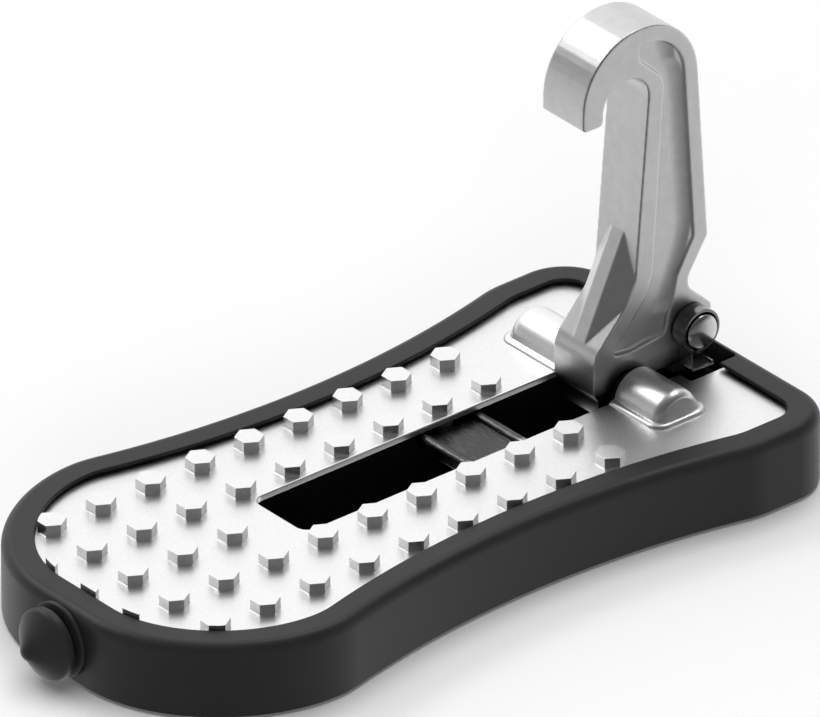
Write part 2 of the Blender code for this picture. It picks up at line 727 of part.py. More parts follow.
def pocket(side):
    floor = offset(pocket_outline(), -0.7)
    rings = []
    mouth = pocket_outline()
    for ring, y in ((floor, POCKET_FLOOR), (mouth, HOOK_HALF - 0.3), (mouth, HOOK_HALF + 1.0)):
        rings.append([(x, side * y, z) for x, z in ring])
    return loft(rings)


def rib():
    """Buttress on the hook's front whose sides slope out towards the arm's edges."""
    rings = []
    for y in (-RIB_BASE, -RIB_HALF, RIB_HALF, RIB_BASE):
        back = RIB_SET_BACK * (abs(y) - RIB_HALF) / (RIB_BASE - RIB_HALF)
        outline = [(2.84 + back, 31.9), (-7.2 + back, 10.2), (-1.5, 8.5), (4.6, 24.0)]
        rings.append([(x, y, z) for x, z in outline])
    return loft(rings)


def make_hook(pivot):
    hook = solid("hook", hook_body(), pivot, (CAST, 0.35, 1.0))
    cut(hook, pocket(-1.0))
    cut(hook, pocket(1.0))
    add(hook, rib())
    bore = BUSH_RADIUS + GAP
    cut(hook, turned([(-BIG, bore), (BIG, bore)], "Y", sides=32))
    pin_bore = PIN_SHANK + GAP
    cut(hook, turned([(-BIG, pin_bore), (BIG, pin_bore)], "Y", (PIN_X, 0.0, PIN_Z)))
    bush = solid("hook_bush", turned([(-HOOK_HALF, BUSH_RADIUS), (HOOK_HALF, BUSH_RADIUS)], "Y"),
                 pivot, (BRONZE, 0.4, 1.0))
    cut(bush, turned([(-BIG, AXLE_RADIUS + GAP), (BIG, AXLE_RADIUS + GAP)], "Y"))


def make_latch_pin(pivot):
    """Pin through the hook's lug: a domed barrel on the near side, a ring on the far side."""
    lug_face = -HOOK_HALF - GAP
    clip_face = lug_face - CLIP_WIDTH - 0.15
    profile = [(PIN_FAR_END, PIN_SHANK - 0.4), (PIN_FAR_END - 0.4, PIN_SHANK), (lug_face, PIN_SHANK),
               (lug_face, PIN_HEAD), (clip_face, PIN_HEAD)]
    for degrees in (25.0, 50.0, 75.0):
        angle = math.radians(degrees)
        profile.append((clip_face - PIN_DOME * math.sin(angle), PIN_HEAD * math.cos(angle)))
    centre = (PIN_X, 0.0, PIN_Z)
    solid("latch_pin", turned(profile, "Y", centre, 32), pivot, (CAST, 0.25, 1.0))
    ring_face = HOOK_HALF + GAP
    disc = turned([(ring_face, 4.1), (ring_face + 0.9, 4.1)], "Y", centre, 28)
    ring = solid("pin_ring", disc, pivot, (STEEL, 0.35, 1.0))
    cut(ring, turned([(-BIG, PIN_SHANK + GAP), (BIG, PIN_SHANK + GAP)], "Y", centre))


def clip_outline():
    """The clip's strip, drawn round the pin's axis: an eye, a straight leg and a short foot."""
    leg = CLIP_LEG_X - PIN_X
    foot = CLIP_FOOT_Z - PIN_Z
    leave = 180.0 + math.degrees(math.acos(-leg / CLIP_EYE))
    path = arc((0.0, 0.0), CLIP_EYE, -106.0, leave, 30)
    path += [(leg, foot + 0.5), (leg + 0.5, foot), (CLIP_FOOT_END - PIN_X - 0.6, foot - 0.15)]
    half_widths = [CLIP_HALF_THICK] * len(path)
    path += [(CLIP_FOOT_END - PIN_X, foot), (CLIP_FOOT_END - PIN_X + 0.5, foot)]
    half_widths += [CLIP_BEAD, CLIP_BEAD * 0.6]
    return band_outline(path, half_widths)


def make_clip(pivot):
    near = -HOOK_HALF - GAP
    solid("latch_clip", along_y(clip_outline(), near - CLIP_WIDTH, near), pivot, (STEEL, 0.25, 1.0))


def build():
    for old in list(bpy.data.objects):
        bpy.data.objects.remove(old)
    pedal_frame = empty("pedal_frame", (-LENGTH_MIDDLE, 0.0, -FLOOR))
    hook_pivot = empty("hook_pivot", (-LENGTH_MIDDLE, 0.0, -FLOOR))
    clip_pivot = empty("clip_pivot", (PIN_X, 0.0, PIN_Z), hook_pivot)
    make_casing(pedal_frame)
    make_tread_plate(pedal_frame)
    make_axle(pedal_frame)
    make_bridge(pedal_frame)
    make_cover(pedal_frame)
    make_hammer(pedal_frame)
    make_hook(hook_pivot)
    make_latch_pin(hook_pivot)
    make_clip(clip_pivot)


build()
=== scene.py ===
import json
import math

import bmesh
import bpy
from mathutils import Matrix, Vector


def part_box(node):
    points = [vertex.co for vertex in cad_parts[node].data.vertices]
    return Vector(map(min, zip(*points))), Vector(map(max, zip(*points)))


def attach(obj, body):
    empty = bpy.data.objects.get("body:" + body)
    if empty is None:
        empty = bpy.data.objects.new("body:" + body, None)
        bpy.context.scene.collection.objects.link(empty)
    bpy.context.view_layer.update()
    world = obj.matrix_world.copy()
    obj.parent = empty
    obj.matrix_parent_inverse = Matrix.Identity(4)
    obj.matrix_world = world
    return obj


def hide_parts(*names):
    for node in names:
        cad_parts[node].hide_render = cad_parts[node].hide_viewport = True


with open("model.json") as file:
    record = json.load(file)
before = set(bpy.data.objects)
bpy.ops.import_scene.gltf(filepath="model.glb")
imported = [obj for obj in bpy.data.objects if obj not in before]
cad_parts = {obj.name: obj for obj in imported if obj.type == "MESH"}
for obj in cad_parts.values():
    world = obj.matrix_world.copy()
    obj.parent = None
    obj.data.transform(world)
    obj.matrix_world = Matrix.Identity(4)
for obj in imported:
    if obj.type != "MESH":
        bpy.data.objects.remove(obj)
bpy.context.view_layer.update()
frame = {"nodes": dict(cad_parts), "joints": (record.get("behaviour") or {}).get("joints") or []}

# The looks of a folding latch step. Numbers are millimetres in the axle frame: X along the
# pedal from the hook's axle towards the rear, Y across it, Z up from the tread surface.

MM = 0.001
PLACES = {joint["name"]: Vector(joint["pos_m"]) for joint in frame["joints"]}
AXLE = PLACES["hook_fold"]


def measured(node):
    """A CAD node's lowest and highest corner in the axle frame, in millimetres."""
    low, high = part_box(node)
    return (low - AXLE) / MM, (high - AXLE) / MM


CASING_LOW, CASING_HIGH = measured("casing")
COVER_LOW, COVER_HIGH = measured("bottom_cover")
BRIDGE_LOW, BRIDGE_HIGH = measured("slot_bridge")
HAMMER_LOW, HAMMER_HIGH = measured("hammer_cone")
COLLAR_LOW, COLLAR_HIGH = measured("hammer_collar")
CLIP_LOW, CLIP_HIGH = measured("latch_clip")
PIN_X, _, PIN_Z = (PLACES["clip_swing"] - AXLE) / MM

BIG = 40.0
GAP = 0.3

# Pedal outline, on the inner edge of the rim. It stays a hair inside the CAD solid's sides.
RIM_WIDTH = 6.3
FRONT_X = CASING_LOW.x + RIM_WIDTH
REAR_X = CASING_HIGH.x - RIM_WIDTH
HAIR = 0.01
HALF_WIDTH = CASING_HIGH.y - RIM_WIDTH - HAIR
FRONT_FLAT = 7.8
SHOULDER_X = -98.9
REAR_SHOULDER_X = 6.5
REAR_CORNER = 5.0
FRONT_CORNER_POWER = 1.86
WAIST_X = -46.0
WAIST_HALF = 27.05
WAIST_RADIUS = 207.0

# Casing section.
RIM_TOP = CASING_HIGH.z
RIM_ROUND = 2.3
RIM_INNER_EDGE = 0.3
LIP_BOTTOM = 0.7
LIP_REACH = 1.6
CASING_BOTTOM = CASING_LOW.z
BOTTOM_EDGE = 0.6
WALL = 2.6
WELL_WALL = 1.75
WEB_TOP = -1.5
WEB_BOTTOM = -3.3

# Tread plate, its studs and the domes over the axle.
PLATE_BOTTOM = -1.2
SUNK = -0.7
EDGE = 0.3
STUD_PITCH = 12.0
STUD_FIRST_X = -103.46
STUD_RADIUS = 2.91
STUD_HEIGHT = 2.17
STUD_ROWS = ((-24.0, -1, 7), (-12.0, -2, 7), (0.0, -2, 1), (12.0, -2, 7), (24.0, -1, 7))
DOME_X = 0.9
DOME_RADIUS = 5.4
DOME_ENDS = {-1.0: 20.4, 1.0: 23.8}
DOME_ROUND = 2.4
DOME_DROP = 1.9
DOME_BLEND = 0.36
DOME_GRID = 0.2
DOME_MARGIN = 0.1
DOME_SKIRT = 6.7
DOME_SKIRT_OUT = 1.4
DOME_SKIRT_TOP = 0.75
DOME_SKIRT_EDGE = 1.1
DOME_SKIRT_SLOPE = 0.12
DOME_CORNER = 3.2
PAD_HALF = 9.4
PAD_INNER = 9.7
PAD_OUTER = 21.6
PAD_BOTTOM = -3.2
JOIN_Z = -0.6
AXLE_RADIUS = 3.0
AXLE_END = 19.6

# Slot and rear notch.
SLOT_MIDDLE = 0.5
SLOT_HALF = 7.85
SLOT_FRONT = -79.9
SLOT_CORNER = 2.5
NOTCH_X = 11.9
NOTCH_HALF = 10.7
NOTCH_REAR = 23.2
NOTCH_CORNER = 0.6
NOTCH_REAR_CORNER = 0.8
NOTCH_FLOOR = -5.0
WELL_REAR = 8.7
STOP_FRONT = 12.5
STOP_REAR = 19.8
STOP_HALF = 5.2
STOP_TOP = 1.1
STOP_EDGE = 0.4

# Hook.
HOOK_HALF = measured("hook")[1].y
BOSS_RADIUS = 6.9
BUSH_BORE = 4.4
PIN_BORE = 2.7
RIB_HALF = 1.75
RIB_BASE = 5.85
RIB_SET_BACK = 3.25
POCKET_DEPTH = 1.15
POCKET_RIM = 0.35
POCKET_SWEEP = 3.7
VOXEL = 0.2

# Latch pin and spring clip.
PIN_SHANK = 2.4
PIN_HEAD = 3.55
PIN_CROWN = 1.35
CLIP_HALF_THICK = 0.3
CLIP_LEG_X = 13.2
CLIP_FOOT_X = 18.1
CLIP_FOOT_Z = 0.95

# Hammer.
HAMMER_SHANK = 2.0
HAMMER_BORE = 2.3
HAMMER_NECK = 5.6
HAMMER_RIM_BACK = 2.3
HAMMER_RIM_LENGTH = 1.9
HAMMER_BLUNT = 2.2

# Screws and feet under the cover.
COVER_SCREWS = ((-114.0, 13.0), (-47.0, 18.0), (14.0, 26.0))
FEET = ((-97.0, 24.0), (-6.0, 26.5))
SCREW_HEAD = 2.6
SCREW_SHANK = 1.25
SCREW_POST = 3.6
SCREW_TIP = -2.2
SCREW_ROOM = -5.6
SCREW_WEB = -5.0
PLATE_POST_BOTTOM = -5.2
PLATE_HOLE_TOP = -1.9
CROSS_REACH = 1.45
CROSS_HALF = 0.32
FOOT_RADIUS = 5.0
FOOT_SINK = 0.8
FLOOR = measured("foot_pad_1")[0].z

# Base level of the black plastic.
BLACK = 0.018

# View: its angles in degrees, the picture's width, a point over the axle, and how far the
# picture's middle lies to the left of that point and above it.
AZIMUTH = -40.0
ELEVATION = 30.0
VIEW_WIDTH = 154.484
AIM = (1.13, 0.0, 0.0)
AIM_LEFT = 37.83
AIM_UP = 3.5


# ---------------------------------------------------------------- outlines

def arc(centre, radius, start, end, steps):
    """Points on a circle from one angle to another, in degrees."""
    points = []
    for step in range(steps + 1):
        angle = math.radians(start + (end - start) * step / steps)
        points.append((centre[0] + radius * math.cos(angle), centre[1] + radius * math.sin(angle)))
    return points


def rounded(corners, degrees_per_step=6.0):
    """Closed outline from (a, b, radius) corners, each one filleted with its radius."""
    points = []
    for index, (a, b, radius) in enumerate(corners):
        here = Vector((a, b))
        before = (Vector(corners[index - 1][:2]) - here).normalized()
        after = (Vector(corners[(index + 1) % len(corners)][:2]) - here).normalized()
        half_angle = before.angle(after) / 2.0
        if radius <= 0.0:
            points.append((a, b))
            continue
        reach = radius / math.tan(half_angle)
        first = here + before * reach
        last = here + after * reach
        centre = here + (before + after).normalized() * radius / math.sin(half_angle)
        steps = max(2, round(math.degrees(math.pi - 2.0 * half_angle) / degrees_per_step))
        start = first - centre
        turn = start.angle_signed(last - centre)
        for step in range(steps + 1):
            spoke = start.copy()
            spoke.rotate(Matrix.Rotation(-turn * step / steps, 2))
            points.append(tuple(centre + spoke))
    return points


def offset(points, distance):
    """Closed outline moved outwards by distance, each edge kept parallel to itself."""
    area = 0.0
    for (a, b), (c, d) in zip(points, points[1:] + points[:1]):
        area += a * d - b * c
    outward = 1.0 if area > 0.0 else -1.0
    moved = []
    for index, point in enumerate(points):
        here = Vector(point)
        arriving = (here - Vector(points[index - 1])).normalized()
        leaving = (Vector(points[(index + 1) % len(points)]) - here).normalized()
        normal_in = Vector((arriving.y, -arriving.x)) * outward
        normal_out = Vector((leaving.y, -leaving.x)) * outward
        miter = (normal_in + normal_out) / (1.0 + normal_in.dot(normal_out))
        moved.append(tuple(here + miter * distance))
    return moved


def shoulder_arc(shoulder_x, steps):
    """Convex arc from a shoulder's widest point to the waist's long concave arc."""
    rise = HALF_WIDTH - WAIST_HALF
    run = shoulder_x - WAIST_X
    radius = (run * run + rise * rise) / (2.0 * rise) - WAIST_RADIUS
    centre = Vector((shoulder_x, HALF_WIDTH - radius))
    towards = Vector((WAIST_X, WAIST_HALF + WAIST_RADIUS)) - centre
    return arc(centre, radius, 90.0, math.degrees(math.atan2(towards.y, towards.x)), steps)


def pedal_outline(distance=0.0):
    """The dog bone: the rim's inner edge, moved outwards by distance."""
    half = []
    corner_steps = 56
    power = 2.0 / FRONT_CORNER_POWER
    for step in range(corner_steps + 1):
        angle = math.pi / 2.0 * step / corner_steps
        x = SHOULDER_X - (SHOULDER_X - FRONT_X) * math.cos(angle) ** power
        y = FRONT_FLAT + (HALF_WIDTH - FRONT_FLAT) * math.sin(angle) ** power
        half.append((x, y))
    front = shoulder_arc(SHOULDER_X, 12)
    rear = shoulder_arc(REAR_SHOULDER_X, 12)
    waist_centre = (WAIST_X, WAIST_HALF + WAIST_RADIUS)
    start = math.degrees(math.asin((front[-1][0] - WAIST_X) / WAIST_RADIUS)) - 90.0
    end = math.degrees(math.asin((rear[-1][0] - WAIST_X) / WAIST_RADIUS)) - 90.0
    half += front[1:] + arc(waist_centre, WAIST_RADIUS, start, end, 48)[1:-1] + rear[::-1]
    half += arc((REAR_X - REAR_CORNER, HALF_WIDTH - REAR_CORNER), REAR_CORNER, 90.0, 0.0, 16)
    return offset(half + [(x, -y) for x, y in reversed(half)], distance)


def slot_sides(margin=0.0):
    """The slot's right and left side as Y, moved outwards by margin."""
    return SLOT_MIDDLE - SLOT_HALF - margin, SLOT_MIDDLE + SLOT_HALF + margin


def slot_outline():
    """The slot through the casing's well."""
    right, left = slot_sides(GAP)
    front = SLOT_FRONT - GAP
    corner = SLOT_CORNER + GAP
    return rounded([
        (WELL_REAR, right, 0.0), (WELL_REAR, left, 0.0), (front, left, corner), (front, right, corner),
    ], 12.0)


def tee_outline():
    """Slot and rear notch together, as one opening that runs out of the plate's rear edge."""
    right, left = slot_sides()
    return rounded([
        (SLOT_FRONT, right, SLOT_CORNER), (NOTCH_X, right, NOTCH_CORNER),
        (NOTCH_X, -NOTCH_HALF, NOTCH_CORNER), (BIG, -NOTCH_HALF, 0.0),
        (BIG, NOTCH_HALF, 0.0), (NOTCH_X, NOTCH_HALF, NOTCH_CORNER),
        (NOTCH_X, left, NOTCH_CORNER), (SLOT_FRONT, left, SLOT_CORNER),
    ], 12.0)


def notch_outline():
    """The notch behind the slot's well."""
    right, left = slot_sides()
    front = WELL_REAR - 1.0
    return rounded([
        (front, right, 0.0), (NOTCH_X, right, NOTCH_CORNER), (NOTCH_X, -NOTCH_HALF, NOTCH_CORNER),
        (NOTCH_REAR, -NOTCH_HALF, NOTCH_REAR_CORNER), (NOTCH_REAR, NOTCH_HALF, NOTCH_REAR_CORNER),
        (NOTCH_X, NOTCH_HALF, NOTCH_CORNER), (NOTCH_X, left, NOTCH_CORNER), (front, left, 0.0),
    ], 15.0)


def hook_outline():
    """Side view of the hook as (x, z): tip, head, back, lug, boss, cheek, arm, throat."""
    return rounded([
        (-10.9, 59.55, 0.9), (-10.9, 77.0, 13.9), (16.35, 77.0, 14.2),
        (19.95, 26.7, 1.5), (14.3, 17.8, 3.2), (20.95, 11.5, 0.9), (20.95, 1.45, 0.9),
        (BOSS_RADIUS, 1.45, 0.4), (BOSS_RADIUS, -BOSS_RADIUS, BOSS_RADIUS - 0.1),
        (-BOSS_RADIUS, -BOSS_RADIUS, BOSS_RADIUS - 0.1), (-BOSS_RADIUS, 0.2, 0.4),
        (-7.95, 1.6, 0.8), (-7.95, 9.7, 5.0), (1.87, 20.6, 8.0),
        (5.68, 67.1, 5.3), (-5.5, 67.1, 5.3), (-6.1, 59.5, 0.9),
    ])


def pocket_outline():
    """Recess on each side of the hook, which leaves a border along every edge."""
    return rounded([
        (3.1, 70.1, 1.3), (2.6, 73.4, 1.3), (13.3, 73.4, 9.6), (16.5, 27.6, 1.5),
        (12.3, 20.4, 4.0), (9.7, 9.0, 1.4), (1.0, 8.0, 1.5), (-3.9, 8.6, 0.9),
        (4.9, 18.6, 1.5), (6.5, 23.7, 3.0), (9.1, 64.3, 4.0),
    ])


# ------------------------------------------------------------ solid shapes

def put(point):
    """World place of a point in the axle frame."""
    return AXLE + Vector(point) * MM


def loft(rings):
    """Closed solid through rings of 3D points, with flat ends."""
    mesh = bmesh.new()
    loops = [[mesh.verts.new(put(point)) for point in ring] for ring in rings]
    count = len(loops[0])
    for lower, upper in zip(loops, loops[1:]):
        for index in range(count):
            after = (index + 1) % count
            mesh.faces.new((lower[index], lower[after], upper[after], upper[index]))
    mesh.faces.new(loops[0][::-1])
    mesh.faces.new(loops[-1])
    bmesh.ops.recalc_face_normals(mesh, faces=mesh.faces)
    return mesh


def along_z(outline, low, high):
    """Prism with an (x, y) outline."""
    return loft([[(x, y, low) for x, y in outline], [(x, y, high) for x, y in outline]])


def along_y(outline, low, high):
    """Prism with an (x, z) outline."""
    return loft([[(x, low, z) for x, z in outline], [(x, high, z) for x, z in outline]])


def block(low, high):
    """Box between two opposite corners."""
    outline = [(low[0], low[1]), (high[0], low[1]), (high[0], high[1]), (low[0], high[1])]
    return along_z(outline, low[2], high[2])


def turned(profile, axis, centre=(0.0, 0.0, 0.0), sides=64):
    """Solid of revolution from (position along the axis, radius) pairs."""
    rings = []
    for along, radius in profile:
        ring = []
        for side in range(sides):
            angle = 2.0 * math.pi * side / sides
            first = radius * math.cos(angle)
            second = radius * math.sin(angle)
            place = [first, second]
            place.insert("XYZ".index(axis), along)
            ring.append(Vector(place) + Vector(centre))
        rings.append(ring)
    return loft(rings)


def together(meshes):
    """One mesh that holds several separate closed solids."""
    joined = meshes[0]
    for mesh in meshes[1:]:
        scratch = bpy.data.meshes.new("scratch")
        mesh.to_mesh(scratch)
        joined.from_mesh(scratch)
        mesh.free()
        bpy.data.meshes.remove(scratch)
    return joined


def posts(places, radius, low, high, sides=32):
    """Equal upright cylinders at several (x, y) places."""
    profile = [(low, radius), (high, radius)]
    return together([turned(profile, "Z", (x, y, 0.0), sides) for x, y in places])


def mirrored(places):
    """Each (x, y) place on the right and on the left."""
    return [(x, side * y) for x, y in places for side in (-1.0, 1.0)]


def soft_opening(outline, bottom, mouth, edge, steps):
    """Cutter with vertical walls that flare with a small radius at the height of its mouth."""
    rings = [[(x, y, bottom) for x, y in outline]]
    for step in range(steps + 1):
        angle = math.pi / 2.0 * step / steps
        wider = offset(outline, edge * (1.0 - math.cos(angle)))
        rings.append([(x, y, mouth - edge * (1.0 - math.sin(angle))) for x, y in wider])
    rings.append([(x, y, BIG) for x, y in offset(outline, edge)])
    return loft(rings)


# ------------------------------------------------------------------ objects

def linked(name, mesh):
    """New object in the scene that takes over the mesh."""
    data = bpy.data.meshes.new(name)
    mesh.to_mesh(data)
    mesh.free()
    made = bpy.data.objects.new(name, data)
    bpy.context.scene.collection.objects.link(made)
    return made


def shaped(target, steps):
    """Applies (operation, mesh) steps to target, in order."""
    guides = []
    for index, (operation, mesh) in enumerate(steps):
        guide = linked(f"guide_{index}", mesh)
        guides.append(guide)
        change = target.modifiers.new(f"step_{index}", "BOOLEAN")
        change.operation = operation
        change.solver = "EXACT"
        change.object = guide
    apply_modifiers(target)
    for guide in guides:
        data = guide.data
        bpy.data.objects.remove(guide)
        bpy.data.meshes.remove(data)
    return target


def overlap(first, second):
    """The solid that two solids share."""
    kept = shaped(linked("overlap", first), [("INTERSECT", second)])
    mesh = bmesh.new()
    mesh.from_mesh(kept.data)
    bpy.data.objects.remove(kept)
    return mesh


def apply_modifiers(target):
    """Replaces target's mesh by what its modifiers make of it."""
    bpy.context.view_layer.update()
    graph = bpy.context.evaluated_depsgraph_get()
    final = bpy.data.meshes.new_from_object(target.evaluated_get(graph))
    target.modifiers.clear()
    target.data = final


def bevelled(target, width, limit):
    """Rounds every edge that turns by more than limit degrees."""
    bevel = target.modifiers.new("bevel", "BEVEL")
    bevel.width = width * MM
    bevel.segments = 2
    bevel.limit_method = "ANGLE"
    bevel.angle_limit = math.radians(limit)
    apply_modifiers(target)


def finished(piece, look, body, nodes, sharp=35.0):
    """Shading, material and the CAD nodes that the piece stands for."""
    piece.data.shade_smooth()
    piece.data.set_sharp_from_angle(angle=math.radians(sharp))
    weighted = piece.modifiers.new("weighted", "WEIGHTED_NORMAL")
    weighted.keep_sharp = True
    piece.data.materials.clear()
    piece.data.materials.append(look)
    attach(piece, body)
    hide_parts(*nodes)
    return piece


# ---------------------------------------------------------------- materials

def new_look(name, colour, roughness, metallic):
    """Material with its node tree and its Principled shader."""
    look = bpy.data.materials.new(name)
    look.use_nodes = True
    shader = look.node_tree.nodes["Principled BSDF"]
    shader.inputs["Base Color"].default_value = (*colour, 1.0)
    shader.inputs["Roughness"].default_value = roughness
    shader.inputs["Metallic"].default_value = metallic
    return look, look.node_tree, shader


def noise(tree, scale, detail=3.0, stretch=(1.0, 1.0, 1.0)):
    """Noise in the piece's own coordinates, which are metres; scale is cells per metre."""
    place = tree.nodes.new("ShaderNodeTexCoord")
    mapping = tree.nodes.new("ShaderNodeMapping")
    mapping.inputs["Scale"].default_value = stretch
    texture = tree.nodes.new("ShaderNodeTexNoise")
    texture.inputs["Scale"].default_value = scale
    texture.inputs["Detail"].default_value = detail
    tree.links.new(place.outputs["Object"], mapping.inputs["Vector"])
    tree.links.new(mapping.outputs["Vector"], texture.inputs["Vector"])
    return texture.outputs["Fac"]


def spread(tree, value, low, high, start=0.3, end=0.7):
    """Maps value to the range low to high; the usual start and end hold most of a noise."""
    ranged = tree.nodes.new("ShaderNodeMapRange")
    ranged.inputs["From Min"].default_value = start
    ranged.inputs["From Max"].default_value = end
    ranged.inputs["To Min"].default_value = low
    ranged.inputs["To Max"].default_value = high
    tree.links.new(value, ranged.inputs["Value"])
    return ranged.outputs["Result"]


def across(tree, axis, start, end):
    """Runs from 0 to 1 between two places along an axis of the axle frame, in millimetres."""
    place = tree.nodes.new("ShaderNodeTexCoord")
    split = tree.nodes.new("ShaderNodeSeparateXYZ")
    tree.links.new(place.outputs["Object"], split.inputs["Vector"])
    shift = AXLE["XYZ".index(axis)]
    return spread(tree, split.outputs[axis], 0.0, 1.0, shift + start * MM, shift + end * MM)


def combined(tree, operation, first, second):
    """Sum or product of two values, held between 0 and 1."""
    result = tree.nodes.new("ShaderNodeMath")
    result.operation = operation
    result.use_clamp = True
    tree.links.new(first, result.inputs[0])
    tree.links.new(second, result.inputs[1])
    return result.outputs["Value"]


def between(tree, value, first, last):
    """Colour that runs from first to last as value runs from 0 to 1."""
    mix = tree.nodes.new("ShaderNodeMix")
    mix.data_type = "RGBA"
    mix.inputs["A"].default_value = (*first, 1.0)
    mix.inputs["B"].default_value = (*last, 1.0)
    tree.links.new(value, mix.inputs["Factor"])
    return mix.outputs["Result"]


def tint(tree, shader, value, first, last):
    """Base colour that runs from first to last as value runs from 0 to 1."""
    tree.links.new(between(tree, value, first, last), shader.inputs["Base Color"])


def bump(tree, shader, layers):
    """Chained bumps from (value, strength, depth in millimetres) layers."""
    normal = None
    for value, strength, depth in layers:
        node = tree.nodes.new("ShaderNodeBump")
        node.inputs["Strength"].default_value = strength
        node.inputs["Distance"].default_value = depth * MM
        tree.links.new(value, node.inputs["Height"])
        if normal is not None:
            tree.links.new(normal, node.inputs["Normal"])
        normal = node.outputs["Normal"]
    tree.links.new(normal, shader.inputs["Normal"])


def grey(level):
    """Neutral colour."""
    return (level, level, level)


def plastic_look(name, level):
    """Moulded plastic with a fine spark-eroded grain and slightly polished patches."""
    look, tree, shader = new_look(name, grey(level), 0.42, 0.0)
    shader.inputs["Specular IOR Level"].default_value = 0.3
    grain = noise(tree, 3600.0, 2.0)
    patches = noise(tree, 45.0, 4.0)
    tint(tree, shader, spread(tree, patches, 0.0, 1.0), grey(level * 0.88), grey(level * 1.12))
    tree.links.new(spread(tree, patches, 0.38, 0.47), shader.inputs["Roughness"])
    bump(tree, shader, [(grain, 0.25, 0.02), (patches, 0.1, 0.05)])
    return look


def casing_look():
    """The same plastic, which turns into a near-black diffuse surface of painted shade on the walls
    inside the slot.
    """
    look = plastic_look("casing_plastic", BLACK)
    tree = look.node_tree
    polished = tree.nodes["Principled BSDF"]
    # Painted shade: a near-black diffuse surface stands in for the shade on the walls inside the slot.
    painted_slot_shade = tree.nodes.new("ShaderNodeBsdfDiffuse")
    pores = noise(tree, 900.0, 3.0)
    tree.links.new(between(tree, pores, grey(0.002), grey(0.006)), painted_slot_shade.inputs["Color"])
    # Mask of the painted shade: 1 on the walls inside the slot and the notch, below the plate, and 0
    # elsewhere.
    inside = across(tree, "Z", -0.9, -1.3)
    right, left = slot_sides(3.6)
    fade = 0.1
    limits = (
        ("X", SLOT_FRONT - 0.5 - fade, SLOT_FRONT - 0.5), ("X", NOTCH_REAR - 0.5, NOTCH_REAR - 1.5),
        ("Y", right, right + fade), ("Y", left, left - fade),
    )
    for axis, start, end in limits:
        inside = combined(tree, "MULTIPLY", inside, across(tree, axis, start, end))
    mix = tree.nodes.new("ShaderNodeMixShader")
    tree.links.new(inside, mix.inputs["Fac"])
    tree.links.new(polished.outputs["BSDF"], mix.inputs[1])
    tree.links.new(painted_slot_shade.outputs["BSDF"], mix.inputs[2])
    tree.links.new(mix.outputs["Shader"], tree.nodes["Material Output"].inputs["Surface"])
    return look


def satin_look():
    """Bright blasted metal: even fine grain with faint larger clouds."""
    look, tree, shader = new_look("satin_metal", grey(0.9), 0.35, 1.0)
    grain = noise(tree, 3200.0, 4.0)
    clouds = noise(tree, 60.0, 5.0)
    tint(tree, shader, spread(tree, grain, 0.0, 1.0), grey(0.84), grey(0.95))
    tree.links.new(spread(tree, clouds, 0.32, 0.38), shader.inputs["Roughness"])
    bump(tree, shader, [(grain, 0.35, 0.012)])
    return look


def bridge_look():
    """Dark metal strip with a painted bright reflection along its near end."""
    look, tree, shader = new_look("bridge_metal", grey(0.2), 0.3, 1.0)
    streaks = noise(tree, 700.0, 3.0, (6.0, 0.6, 1.0))
    # Painted reflection: the base colour turns bright towards the strip's near end, at -Y, which faces
    # the camera.
    painted_sheen = across(tree, "Y", -4.2, -6.6)
    blend = combined(tree, "ADD", painted_sheen, spread(tree, streaks, -0.2, 0.15))
    tint(tree, shader, blend, grey(0.07), grey(0.8))
    tree.links.new(spread(tree, streaks, 0.24, 0.36), shader.inputs["Roughness"])
    bump(tree, shader, [(streaks, 0.2, 0.01)])
    return look


def cast_look(name, level, roughness, relief, root_shade):
    """Tumbled die casting: soft orange peel and fine grain, with painted shade that blackens it low down,
    near the slot.
    """
    look, tree, shader = new_look(name, grey(level), roughness, 1.0)
    peel = noise(tree, 420.0, 2.0)
    grain = noise(tree, 2400.0, 2.0)
    shade = spread(tree, peel, 0.0, 0.08)
    # Painted shade: the base colour goes nearly black from 5.5 mm above the axle down to 1 mm, where the
    # slot's shade falls on the hook's root.
    if root_shade:
        shade = combined(tree, "ADD", shade, across(tree, "Z", 5.5, 1.0))
    tint(tree, shader, shade, grey(level * 1.04), grey(0.02))
    tree.links.new(spread(tree, grain, roughness - 0.03, roughness + 0.03), shader.inputs["Roughness"])
    bump(tree, shader, [(peel, relief, 0.04), (grain, relief, 0.006)])
    return look


def steel_look(name, level, roughness, stretch):
    """Zinc-plated steel with fine drawing marks along one direction."""
    look, tree, shader = new_look(name, grey(level), roughness, 1.0)
    lines = noise(tree, 900.0, 3.0, stretch)
    blotches = noise(tree, 260.0, 3.0)
    tint(tree, shader, spread(tree, blotches, 0.0, 1.0), grey(level * 0.85), grey(level * 1.15))
    tree.links.new(spread(tree, lines, roughness - 0.05, roughness + 0.08), shader.inputs["Roughness"])
    bump(tree, shader, [(lines, 0.08, 0.006)])
    return look


def bronze_look():
    """Oil-blackened sintered bronze with round tool marks and dull spots."""
    look, tree, shader = new_look("bronze", (0.05, 0.04, 0.03), 0.45, 1.0)
    rings = noise(tree, 1500.0, 2.0, (1.0, 6.0, 1.0))
    spots = noise(tree, 500.0, 4.0)
    tint(tree, shader, spread(tree, spots, 0.0, 1.0), (0.03, 0.025, 0.02), (0.08, 0.06, 0.045))
    tree.links.new(spread(tree, rings, 0.38, 0.5), shader.inputs["Roughness"])
    bump(tree, shader, [(rings, 0.3, 0.01)])
    return look


def rubber_look():
    """Dull moulded rubber with dusty patches."""
    look, tree, shader = new_look("rubber", grey(0.014), 0.8, 0.0)
    dust = noise(tree, 320.0, 5.0)
    pores = noise(tree, 2600.0, 2.0)
    tint(tree, shader, spread(tree, dust, 0.0, 1.0), grey(0.011), grey(0.028))
    tree.links.new(spread(tree, dust, 0.72, 0.88), shader.inputs["Roughness"])
    bump(tree, shader, [(pores, 0.4, 0.03)])
    return look


# -------------------------------------------------------------------- pedal

